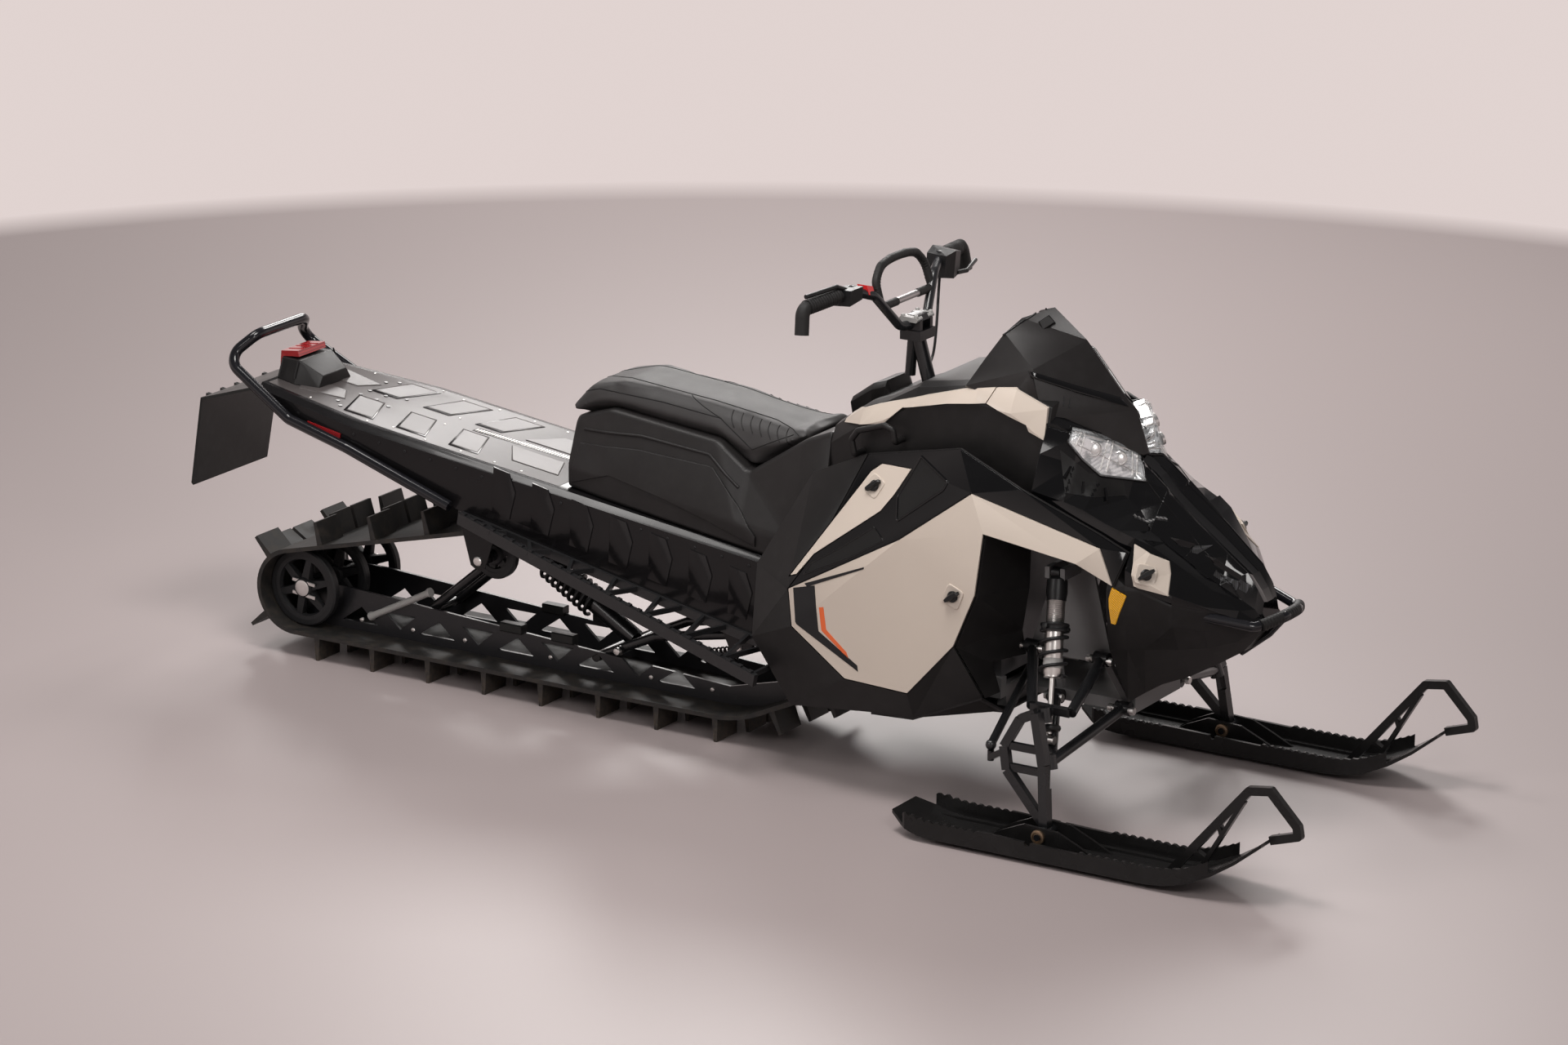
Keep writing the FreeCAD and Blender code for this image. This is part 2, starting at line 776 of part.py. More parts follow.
SIDE_FACES = [
    ["rear_foot", "rear_waist", "hip"],
    ["rear_foot", "hip", "hip_low"],
    ["rear_foot", "hip_low", "foot_rear"],
    ["rear_waist", "rear_top", "hip"],
    ["rear_top", "waist", "hip"],
    ["rear_top", "top_rear", "waist"],
    ["top_rear", "top_peak", "beige_top"],
    ["top_rear", "beige_top", "waist"],
    ["top_peak", "fender_mid", "beige_top"],
    ["fender_mid", "fender_front", "beige_front"],
    ["fender_mid", "beige_front", "beige_top"],
    ["fender_front", "brow", "beige_front"],
    ["brow", "beige_tip", "beige_front"],
    ["beige_front", "beige_tip", "arch_roof"],
    ["beige_top", "beige_front", "arch_roof"],
    ["beige_top", "arch_roof", "arch_top"],
    ["waist", "beige_top", "arch_top"],
    ["waist", "arch_top", "arch_mid"],
    ["waist", "arch_mid", "arch_low"],
    ["hip", "waist", "hip_low"],
    ["hip_low", "waist", "belly_rear"],
    ["waist", "belly_front", "belly_rear"],
    ["waist", "arch_low", "belly_front"],
    ["hip_low", "belly_rear", "foot_rear"],
    ["foot_rear", "belly_rear", "foot_mid"],
    ["belly_rear", "belly_front", "foot_mid"],
    ["foot_mid", "belly_front", "foot_low"],
    ["belly_front", "arch_low", "foot_low"],
    ["foot_low", "arch_low", "foot_front"],
]


def side_layer(depth, thickness):
    """Whole right-hand skin in one piece, at a depth under its outer face."""
    corners = {name: (x, z, out - depth) for name, (x, z, out) in SIDE.items()}
    return skin_y(corners, SIDE_FACES, thickness)


def band_outline():
    """Side view outline of the gloss band over the panel."""
    names = [
        "top_rear", "top_peak", "fender_mid", "fender_front", "brow", "beige_tip", "beige_front",
        "beige_top", "waist", "hip",
    ]
    return [place(name) for name in names] + [(300, 572)]


def side_prism(outline, inward):
    """Side view outline as a prism through the right-hand skin."""
    return prism_y(inset(outline, inward), -500.0, 0)


def edge_strips(outline, reach):
    """Prisms along every edge of a side view outline, reaching the same distance each way."""
    strips = []
    for (x1, z1), (x2, z2) in zip(outline, outline[1:] + outline[:1]):
        length = math.hypot(x2 - x1, z2 - z1)
        ux = (x2 - x1) / length * reach
        uz = (z2 - z1) / length * reach
        quad = [(x1 - ux - uz, z1 - uz + ux), (x1 - ux + uz, z1 - uz - ux)]
        quad += [(x2 + ux + uz, z2 + uz - ux), (x2 + ux - uz, z2 + uz + ux)]
        strips.append(prism_y(quad, -500.0, 0))
    return strips


def seat_lips():
    """Ledges behind the gaps, which the pale panels and the gloss band sit on."""
    strips = []
    for outline in (panel_outline(), upper_outline(), band_outline()):
        strips += edge_strips(outline, LIP_REACH)
    return side_layer(SKIN, LIP_THICK).common(fuse(strips))


def place(name):
    """Side view place of a corner of the skin."""
    return SIDE[name][:2]


def inset(outline, gap):
    """Outline moved inwards by a gap, its corners kept sharp."""
    count = len(outline)
    area = 0
    for (x1, z1), (x2, z2) in zip(outline, outline[1:] + outline[:1]):
        area += x1 * z2 - x2 * z1
    sign = 1 if area > 0 else -1
    lines = []
    for i in range(count):
        (x1, z1), (x2, z2) = outline[i], outline[(i + 1) % count]
        length = math.hypot(x2 - x1, z2 - z1)
        nx = -(z2 - z1) / length * sign
        nz = (x2 - x1) / length * sign
        lines.append((nx, nz, nx * x1 + nz * z1 + gap))
    result = []
    for i in range(count):
        a1, b1, c1 = lines[i - 1]
        a2, b2, c2 = lines[i]
        det = a1 * b2 - a2 * b1
        result.append(((c1 * b2 - c2 * b1) / det, (a1 * c2 - a2 * c1) / det))
    return result


def panel_outline():
    """Side view outline of the pale main panel."""
    names = ["hip", "waist", "beige_top", "beige_front", "beige_tip", "arch_roof", "arch_top"]
    names += ["arch_mid", "arch_low", "belly_front", "belly_rear", "hip_low"]
    return [place(name) for name in names]


def upper_outline():
    """Side view outline of the pale upper panel beside the knee."""
    return [
        (534, 806), (440, 800), (412, 778), (240, 512), (262, 520), (300, 572), (470, 700), (500, 742),
    ]


def make_side(part):
    """One of the right-hand body panels cut from the skin."""
    half_gap = PANEL_GAP / 2
    main = panel_outline()
    upper = upper_outline()
    if part == "panel":
        skin = side_layer(0, SKIN - JOINT_GAP)
        return group(
            [skin.common(side_prism(main, half_gap)), skin.common(side_prism(upper, half_gap))]
        )
    band = band_outline()
    if part == "fender":
        skin = side_layer(0, SKIN - JOINT_GAP)
        shape = skin.common(side_prism(band, half_gap))
        return shape.cut(side_prism(main, -half_gap)).cut(side_prism(upper, -half_gap))
    rest = side_layer(0, SKIN)
    for outline in (main, upper, band):
        rest = rest.cut(side_prism(outline, -half_gap))
    return fuse([rest, seat_lips()])


# Half sections of the hood as (x, corners), each corner out from the middle and up
HOOD_REAR = [
    (850, [(250, 780), (250, 800), (214, 880), (182, 938), (130, 955), (100, 945)]),
    (930, [(246, 760), (242, 784), (192, 862), (174, 926), (110, 921), (60, 905)]),
    (980, [(238, 740), (234, 768), (150, 826), (112, 900), (70, 890), (40, 875)]),
    (1030, [(226, 700), (222, 742), (110, 775), (78, 826), (48, 848), (20, 838)]),
    (1064, [(218, 656), (214, 728), (110, 752), (78, 812), (48, 824), (20, 812)]),
    (1104, [(210, 640), (206, 712), (130, 712), (78, 770), (48, 792), (20, 769)]),
]
HOOD_FRONT = [
    (1104, [(256, 612), (258, 650), (212, 716), (140, 716), (60, 790), (20, 769)]),
    (1143, [(254, 606), (252, 634), (196, 697), (130, 690), (56, 760), (20, 738)]),
    (1209, [(222, 574), (222, 596), (156, 640), (112, 640), (52, 706), (20, 690)]),
    (1262, [(162, 552), (161, 562), (116, 590), (84, 596), (46, 662), (20, 650)]),
    (1312, [(94, 518), (94, 524), (80, 540), (62, 560), (40, 622), (18, 612)]),
    (1338, [(72, 510), (72, 514), (62, 520), (50, 540), (38, 585), (16, 578)]),
    (1352, [(58, 506), (58, 509), (52, 513), (44, 520), (32, 556), (14, 552)]),
]
COVER_CORNERS = [(1108, 704), (1178, 664), (1204, 596), (1128, 616)]


def hood_body():
    """Hood without its lamp pockets: a rear part under the screen and a wider front part."""
    return both_sides(hull_loft(half_rings(HOOD_REAR)).fuse(hull_loft(half_rings(HOOD_FRONT))))


def make_hood():
    """Gloss nose between the side panels: two ridges down to the bumper, with pockets beside."""
    hood = hood_body()
    floor = hood.translated(V(0, 0, -14))
    for side in (-1, 1):
        vent = prism_z([(1146, side * 116), (1196, side * 84), (1188, side * 112)], 560, 800)
        nostril = prism_z(
            [(1222, side * 82), (1262, side * 60), (1300, side * 50), (1296, side * 66)], 500, 800,
        )
        hood = hood.cut(vent.cut(floor)).cut(nostril.cut(floor))
    lamp = make_headlight()
    return hood.cut(lamp).cut(mirror_y(lamp)).cut(make_front_bumper()).removeSplitter()


def make_front_cover():
    """Right-hand pale cover on the hood's side."""
    return largest(shell_on(hood_body(), COVER_CORNERS, 5))


def half_rings(data):
    """Closed sections from half profiles of (y, z) points, low to high."""
    rings = []
    for x, profile in data:
        right = [V(x, -y, z) for y, z in profile]
        left = [V(x, y, z) for y, z in reversed(profile)]
        rings.append(right + left)
    return rings


def make_nose():
    """Matte chin under the hood, its rear face the front wall of the arches."""
    under = [(profile[0][0], profile[0][1] - JOINT_GAP) for x, profile in HOOD_FRONT]
    data = [(NOSE_REAR_X, [(150, 292), (250, 450), (272, 560), (272, 600), (256, 640), (212, 640)])]
    chin = [
        [(141, 320), (236, 452), (256, 545), (258, 600)],
        [(132, 345), (224, 455), (248, 545), (253, 596)],
        [(112, 372), (182, 455), (214, 520), (222, 566)],
        [(84, 402), (136, 455), (152, 500), (161, 544)],
        [(52, 433), (84, 466), (91, 492), (94, 512)],
        [(44, 466), (62, 482), (70, 494), (72, 505)],
        [(36, 484), (50, 492), (56, 498), (58, 503)],
    ]
    for (x, profile), low, (y, z) in zip(HOOD_FRONT, chin, under):
        data.append((x, low + [(y, z), (y * 0.8, z)]))
    return both_sides(hull_loft(half_rings(data))).cut(make_front_bumper())


def shell_on(carrier, outline, thickness):
    """Thin right-hand plate that follows a carrier's side within a side view outline."""
    out = carrier.translated(V(0, -thickness, 0))
    return prism_y(outline, -500, 0).common(out).cut(carrier.translated(V(0, -JOINT_GAP, 0)))


def make_reflectors():
    """Amber reflectors on the chin's sides, in front of the wheel arches."""
    outline = [(1072, 580), (1078, 606), (1110, 588), (1084, 516), (1075, 518)]
    plate = shell_on(make_nose(), outline, 5)
    return group([plate, mirror_y(plate)])


def make_side_reflectors():
    """Red reflectors on the tunnel's sides near its rear end."""
    outline = [(-1280, 632), (-1164, 620), (-1170, 590), (-1271, 610)]
    plate = largest(shell_on(tunnel_hull(), outline, 3).cut(make_rear_bumper()))
    return group([plate, mirror_y(plate)])


def make_arch_liner():
    """Right-hand inner wall and roof of the wheel arch."""
    edge = LIP_THICK + JOINT_GAP
    outer = {}
    for name in ("arch_roof", "arch_top", "arch_mid", "arch_low", "foot_front"):
        x, z, out = SIDE[name]
        outer[name] = V(x + 4, -out + SKIN + edge, z - 3)
    deep = [
        ("in_roof", 1040, 640, 205), ("in_top", 822, 652, 195), ("in_mid", 812, 540, 182),
        ("in_low", 790, 430, 172), ("in_foot", 806, 306, 162),
    ]
    for name, x, z, out in deep:
        outer[name] = V(x, -out, z)
    names = [
        ["arch_roof", "arch_top", "in_top"], ["arch_roof", "in_top", "in_roof"],
        ["arch_top", "arch_mid", "in_mid"], ["arch_top", "in_mid", "in_top"],
    ]
    names += [
        ["arch_mid", "arch_low", "in_low"], ["arch_mid", "in_low", "in_mid"],
        ["arch_low", "foot_front", "in_foot"], ["arch_low", "in_foot", "in_low"],
    ]
    shift = {"in_roof": (0, 0, 4), "in_top": (-3, 0, 4)}
    inner = {}
    for name, point in outer.items():
        inner[name] = point + V(*shift.get(name, (-4, 1, 1.5)))
    rod_window = box(
        TIE_INNER[0] - 24, TIE_INNER[0] + 62, -TIE_INNER[1] - 170, -TIE_INNER[1], 240,
        TIE_INNER[2] + 40,
    )
    return thick_net(outer, inner, names).cut(rod_window)


def make_belly_pan():
    """Folded pan under the engine bay, its edges under the fairings' lower edges."""
    thick = 5.0
    keel = 212.0
    rings = []
    for name, x, middle in (("foot_mid", 474, 0), ("foot_low", 586, 0), ("foot_front", 770, 64)):
        half = SIDE[name][2]
        z = SIDE[name][1] - JOINT_GAP
        upper = [(-half, z), (-keel, z - middle), (keel, z - middle), (half, z)]
        ring = upper + [(y, b - thick) for y, b in reversed(upper)]
        rings.append([V(x, y, b) for y, b in ring])
    return hull_loft(rings)


def make_windshield():
    """Tall two-tier windshield over the headlamps: upper shield, gloss step and skirt."""
    corners = {
        "peak": V(765, 0, 1174),
        "front_mid": V(853, 0, 1107),
        "front_low": V(945, 0, 1000),
        "sill": V(967, 0, 977),
        "top": V(702, -45, 1149),
        "shoulder": V(690, -105, 1124),
        "sill_side": V(786, -138, 1057),
        "step_side": V(794, -150, 1042),
        "step_front": V(990, 0, 958),
        "skirt_side": V(831, -165, 939),
        "skirt_front": V(1017, -16, 856),
        "tip": V(1024, 0, 858),
        "wing_low": V(628, -176, 1004),
        "wing_mid": V(663, -140, 1072),
    }
    names = [
        ["peak", "top", "front_mid"],
        ["top", "shoulder", "front_mid"],
        ["shoulder", "sill_side", "front_mid"],
        ["sill_side", "front_low", "front_mid"],
        ["sill_side", "sill", "front_low"],
        ["sill_side", "step_side", "sill"],
        ["step_side", "step_front", "sill"],
        ["step_side", "skirt_side", "step_front"],
        ["skirt_side", "skirt_front", "step_front"],
        ["skirt_front", "tip", "step_front"],
        ["shoulder", "wing_mid", "sill_side"],
        ["wing_mid", "wing_low", "sill_side"],
        ["wing_low", "skirt_side", "sill_side"],
        ["sill_side", "skirt_side", "step_side"],
    ]
    outer = dict(corners)
    for name, p in corners.items():
        if p.y < 0:
            outer[name + "_left"] = V(p.x, -p.y, p.z)
    faces = list(names)
    for triangle in names:
        faces.append([n + "_left" if n + "_left" in outer else n for n in triangle])
    inner = {name: V(p.x - 5, p.y * 0.972, p.z - 5) for name, p in outer.items()}
    screen = thick_net(outer, inner, faces)
    trim = make_console_trim()
    for carrier in (hood_body(), console_body(), trim):
        screen = screen.cut(carrier.translated(V(0, 0, JOINT_GAP)))
    screen = screen.cut(trim)
    lamp = make_headlight()
    return largest(screen.cut(lamp).cut(mirror_y(lamp)))


# Corners of the right-hand lamp's face, and how far the lens is crowned
LAMP_FACE = [
    (914, -172, 936), (970, -112, 911), (1014, -42, 864), (1035, -38, 813),
    (1029, -52, 791), (956, -150, 834), (936, -178, 870), (915, -184, 908),
]
LAMP_MIDDLE = (981, -126, 874)
LAMP_DEPTH = (-24, 26, -16)


def make_headlight():
    """Right-hand lamp, a faceted lens block set into the hood."""
    outer = {str(i): V(*p) for i, p in enumerate(LAMP_FACE)}
    outer["middle"] = V(*LAMP_MIDDLE)
    inner = {name: p + V(*LAMP_DEPTH) for name, p in outer.items()}
    count = len(LAMP_FACE)
    faces = [[str(i), str((i + 1) % count), "middle"] for i in range(count)]
    return thick_net(outer, inner, faces)


# Console sections: place along the machine, half-width, shoulder height, ridge half-width and top
CONSOLE = [
    (245, 150, 800, 100, 846),
    (345, 180, 866, 124, 914),
    (408, 184, 888, 128, 938),
    (490, 186, 934, 130, 984),
    (660, 188, 966, 130, 1014),
    (760, 188, 960, 130, 1018),
    (849.7, 182, 905, 126, 985),
]
CONSOLE_STRIP = [
    (293, 884), (384, 920), (525, 966), (630, 996), (704, 1008),
    (690, 973), (587, 957), (463, 928), (413, 882), (283, 857),
]
CONSOLE_STRIP_FRONT = [
    (707, 1008), (753, 1013), (842, 978), (848, 906), (808, 922), (801, 937), (693, 973),
]


def console_half(x):
    """Half-width of the console at a place along it."""
    for first, second in zip(CONSOLE, CONSOLE[1:]):
        if x <= second[0]:
            return first[1] + (second[1] - first[1]) * (x - first[0]) / (second[0] - first[0])
    return CONSOLE[-1][1]


def console_body():
    """Console without the holes for the steering post."""
    low = ENGINE_TOP + JOINT_GAP
    sections = []
    for x, half, shoulder, ridge, top in CONSOLE:
        sections.append((x, [(half, low), (half, shoulder), (ridge + 30, top - 8), (ridge, top)]))
    pod = [
        (245, [(50, 840), (62, 880), (50, 892)]),
        (304, [(50, 860), (66, 920), (54, 934)]),
        (340, [(50, 880), (60, 932), (50, 946)]),
        (350, [(50, 890), (54, 915), (46, 918)]),
    ]
    return both_sides(hull_loft(half_rings(sections)).fuse(hull_loft(half_rings(pod))))


def make_console():
    """Cover between seat and windshield that the steering post rises through."""
    along = (V(*POST_TOP) - V(*POST_FOOT)).normalize()
    bore = Part.makeCylinder(POST_R + JOINT_GAP, 400, V(*POST_FOOT) - along * 2, along)
    return console_body().cut(bore)


def make_console_trim():
    """Pale strips along both upper edges of the console, each in two pieces."""
    solids = []
    for outline in (CONSOLE_STRIP, CONSOLE_STRIP_FRONT):
        strip = largest(shell_on(console_body(), outline, 9))
        solids += [strip, mirror_y(strip)]
    return group(solids)


def make_grab_handles():
    """Bent grab handles on the console's sides, beside the rider's knees."""
    out = 222.0
    points = [
        (
            353, -console_half(353) - JOINT_GAP, 804,
        ), (353, -out, 804), (345, -out, 840), (362, -out, 864),
        (436, -out, 888), (458, -out, 880), (464, -out, 850), (
            464, -console_half(464) - JOINT_GAP, 850,
        ),
    ]
    handle = tube(points, 7.5, 8).cut(console_body().translated(V(0, -JOINT_GAP, 0)))
    return group([handle, mirror_y(handle)])


def make_front_bumper():
    """Tube loop round the nose with its lower brace."""
    radius = 12.0
    points = [(1214, -166, 542), (1366, -106, 516), (1408, -36, 532)]
    points += [(x, -y, z) for x, y, z in reversed(points)]
    brace = tube([(1402, 0, 530), (1352, 0, 470), (1280, 0, 412)], 8, 20)
    return fuse([tube(points, radius, 30), brace])


def make_bulkhead():
    """Front frame between the skis, with shock towers and arm mounts."""
    low_half = LOWER_PIVOT_Y - ARM_R - 4 - JOINT_GAP
    pieces = [
        box(
            LOWER_REAR_X - 20, LOWER_FRONT_X + 20, -low_half, low_half, LOWER_PIVOT_Z - 14,
            LOWER_PIVOT_Z + 14,
        )
    ]
    half = UPPER_PIVOT_Y - ARM_R - 4 - JOINT_GAP
    tower = [
        (UPPER_REAR_X - 20, UPPER_PIVOT_Z - 18), (UPPER_FRONT_X + 20, UPPER_PIVOT_Z - 18),
        (SHOCK_TOP[0] + 50, SHOCK_TOP[2] + 30), (SHOCK_TOP[0] - 30, SHOCK_TOP[2] + 30),
    ]
    for side in (-1, 1):
        y0, y1 = sorted((side * half, side * (half - 8)))
        pieces.append(prism_y(tower, y0, y1))
        for x in (LOWER_REAR_X, LOWER_FRONT_X):
            lean = 4 if x == LOWER_REAR_X else -50
            foot = (x, side * (low_half - 14), LOWER_PIVOT_Z)
            pieces.append(beam(foot, (x + lean, side * (half - 8), UPPER_PIVOT_Z), 16, 16, (0, 1, 0)))
    front = CRADLE_FRONT_X
    ear = SHOCK_EYE + JOINT_GAP
    reach = SHOCK_TOP[1] + 15
    for x in (SHOCK_TOP[0] - ear - 12, SHOCK_TOP[0] + ear):
        pieces.append(box(x, x + 12, -reach, reach, SHOCK_TOP[2] - 12, SHOCK_TOP[2] + 16))
    pieces.append(
        box(
            NOSE_REAR_X - 26, NOSE_REAR_X - JOINT_GAP, -low_half, low_half, LOWER_PIVOT_Z - 14,
            LOWER_PIVOT_Z + 60,
        )
    )
    pieces.append(box(front - 24, front, -CRADLE_Y, CRADLE_Y, PAN_TOP, ENGINE_LOW - 26))
    rear = TUNNEL_FRONT_X + JOINT_GAP
    for side in (-1, 1):
        y0, y1 = sorted((side * CRADLE_Y, side * (TUNNEL_HALF - 1)))
        pieces.append(box(rear, front, y0, y1, ENGINE_LOW - CRADLE_HEIGHT, ENGINE_LOW))
    pieces.append(
        box(front - 24, front, -CRADLE_Y - 2, CRADLE_Y + 2, ENGINE_LOW - CRADLE_HEIGHT, ENGINE_LOW - 25)
    )
    pieces.append(
        box(front - 2, LOWER_REAR_X, -low_half, low_half, ENGINE_LOW - CRADLE_HEIGHT, ENGINE_LOW - 34)
    )
    reach = 40.0
    slot = box(
        TIE_INNER[0] - 32, TIE_INNER[0] + 50, -half - 1, half + 1, LOWER_PIVOT_Z + 15,
        TIE_INNER[2] + reach,
    )
    return fuse(pieces).cut(slot)


def kingpin():
    """Lower point and direction of the right-hand steering axis."""
    x0, y0, z0 = LOWER_BALL
    x1, y1, z1 = UPPER_BALL
    low = V(x0, -y0, z0)
    return low, (V(x1, -y1, z1) - low).normalize()


def ball_boss(ball):
    """Round boss at the outer end of an arm, on the steering axis."""
    along = kingpin()[1]
    x, y, z = ball
    return Part.makeCylinder(BALL_R, BALL_TALL, V(x, -y, z) - along * (BALL_TALL / 2), along)


def make_arms():
    """Right-hand lower and upper A-arms."""
    def pivots(pivot_y, pivot_z, rear_x, front_x):
        return [
            rod(
                (x - 18, -pivot_y, pivot_z), (x + 18, -pivot_y, pivot_z), ARM_R + 4,
            ) for x in (rear_x, front_x)
        ]

    lower = pivots(LOWER_PIVOT_Y, LOWER_PIVOT_Z, LOWER_REAR_X, LOWER_FRONT_X)
    bx, by, bz = LOWER_BALL
    for x in (LOWER_REAR_X, LOWER_FRONT_X):
        lower.append(rod((x, -LOWER_PIVOT_Y, LOWER_PIVOT_Z), (bx, -by + 6, bz), ARM_R))
    lower.append(ball_boss(LOWER_BALL))
    upper = pivots(UPPER_PIVOT_Y, UPPER_PIVOT_Z, UPPER_REAR_X, UPPER_FRONT_X)
    bx, by, bz = UPPER_BALL
    yoke_y = -by + YOKE_BACK
    ends = [(bx - YOKE_HALF, yoke_y, bz + 6), (bx + YOKE_HALF, yoke_y, bz + 6)]
    for x, end in zip((UPPER_REAR_X, UPPER_FRONT_X), ends):
        upper.append(rod((x, -UPPER_PIVOT_Y, UPPER_PIVOT_Z), end, ARM_R))
    upper.append(beam(ends[0], ends[1], 22, 18))
    upper.append(rod((bx, yoke_y, bz + 6), (bx, -by + 4, bz), ARM_R))
    upper.append(ball_boss(UPPER_BALL))
    return group([fuse(lower), fuse(upper)])


def make_ski_shock():
    """Right-hand ski shock: body, spring seats and rod."""
    x0, y0, z0 = SHOCK_TOP
    x1, y1, z1 = SHOCK_FOOT
    top = V(x0, -y0, z0)
    foot = V(x1, -y1, z1)
    along = (foot - top).normalize()
    length = (foot - top).Length

    def piece(start, end, radius):
        a = top + along * start
        return Part.makeCylinder(radius, end - start, a, along)

    pieces = [piece(20, length * 0.62, SHOCK_R * 0.8), piece(length * 0.6, length - 14, 8)]
    pieces.append(piece(length * 0.30, length * 0.36, SHOCK_R + 8))
    pieces.append(piece(length - 40, length - 26, SHOCK_R))
    pieces.append(rod((x0 - SHOCK_EYE, -y0, z0), (x0 + SHOCK_EYE, -y0, z0), 15))
    pieces.append(rod((x1 - 12, -y1, z1), (x1 + 12, -y1, z1), 13))
    pieces.append(piece(0, 30, 10))
    return fuse(pieces)


def coil(start, end, radius, wire, turns):
    """Open coil spring round the line from start to end, its wire six-sided."""
    start = V(*start)
    along = V(*end) - start
    turn = FreeCAD.Rotation(V(0, 0, 1), along)
    steps = round(10 * turns)
    rings = []
    for i in range(steps + 1):
        angle = 2 * math.pi * turns * i / steps
        out = V(math.cos(angle), math.sin(angle), 0)
        middle = out * radius + V(0, 0, along.Length * i / steps)
        ring = []
        for k in range(6):
            side = math.pi * k / 3
            ring.append(middle + out * (wire * math.cos(side)) + V(0, 0, wire * math.sin(side)))
        rings.append([start + turn.multVec(p) for p in ring])
    return hull_loft(rings)


def shock_point(share):
    """Point along the right-hand ski shock, from its top at 0 to its foot at 1."""
    x0, y0, z0 = SHOCK_TOP
    x1, y1, z1 = SHOCK_FOOT
    return (x0 + (x1 - x0) * share, -y0 - (y1 - y0) * share, z0 + (z1 - z0) * share)


def make_ski_springs():
    """Coil springs of both ski shocks."""
    wire = 3.6
    length = (V(*shock_point(1)) - V(*shock_point(0))).Length
    inset_share = (wire + JOINT_GAP) / length
    spring = coil(shock_point(0.36 + inset_share), shock_point(0.62), SHOCK_R + 2, wire, 4)
    return group([spring, mirror_y(spring)])


def make_torque_arms():
    """Rear and front arms between tunnel and rails."""
    rear = [carrier_shaft()]
    inner = RAIL_Y - RAIL_THICK / 2 - JOINT_GAP
    foot = (-1000.0, 140.0)
    rear.append(rod((foot[0], -inner, foot[1]), (foot[0], inner, foot[1]), ARM_TUBE_R))
    for y in (-inner + 20, inner - 20):
        rear.append(rod((CARRIER_X, y, CARRIER_Z), (foot[0], y, foot[1]), ARM_TUBE_R))
    shaft = (FRONT_ARM_X, FRONT_ARM_Z)
    reach = TUNNEL_HALF - SHEET - JOINT_GAP
    front = [rod((shaft[0], -reach, shaft[1]), (shaft[0], reach, shaft[1]), ARM_TUBE_R + 4)]
    low = (-470.0, 120.0)
    knee = (-300.0, 200.0)
    front.append(rod((low[0], -inner, low[1]), (low[0], inner, low[1]), ARM_TUBE_R))
    for y in (-inner + 16, inner - 16):
        front.append(rod((shaft[0], y, shaft[1]), (knee[0], y, knee[1]), ARM_TUBE_R))
        front.append(rod((knee[0], y, knee[1]), (low[0], y, low[1]), ARM_TUBE_R))
        front.append(Part.makeSphere(ARM_TUBE_R, V(knee[0], y, knee[1])))
    cross = rod(
        (SHOCK_CROSS_X, -inner, SHOCK_CROSS_Z), (SHOCK_CROSS_X, inner, SHOCK_CROSS_Z), ARM_TUBE_R,
    )
    front.append(cross)
    return group([fuse(rear), fuse(front)])


def make_track_shocks():
    """Rear shock inside the track, from the carrier shaft to the cross tube between the rails."""
    top = V(CARRIER_X, 0, CARRIER_Z)
    foot = V(SHOCK_CROSS_X, 0, SHOCK_CROSS_Z)
    along = (foot - top).normalize()
    start = top + along * (ARM_TUBE_R + 4 + JOINT_GAP)
    length = (foot - start).Length - ARM_TUBE_R - JOINT_GAP
    return Part.makeCylinder(24, length, start, along)


def ski_line(x):
    """Height of the ski's sole at a place along it."""
    rear = 760.0
    front = 1320.0
    if x < rear:
        return KEEL_DEPTH + 34 * ((rear - x) / (rear - SKI_TAIL_X)) ** 2
    if x > front:
        return KEEL_DEPTH + 128 * ((x - front) / (SKI_TIP_X - front)) ** 2
    return KEEL_DEPTH


def toothed_top(outline_z, start, end, pitch, height):
    """Points along a rail's upper edge with a row of low teeth."""
    points = []
    x = start
    while x < end:
        points += [
            (x, outline_z(x)), (x + pitch * 0.3, outline_z(x) + height),
            (x + pitch * 0.6, outline_z(x) + height),
        ]
        x += pitch
    return points


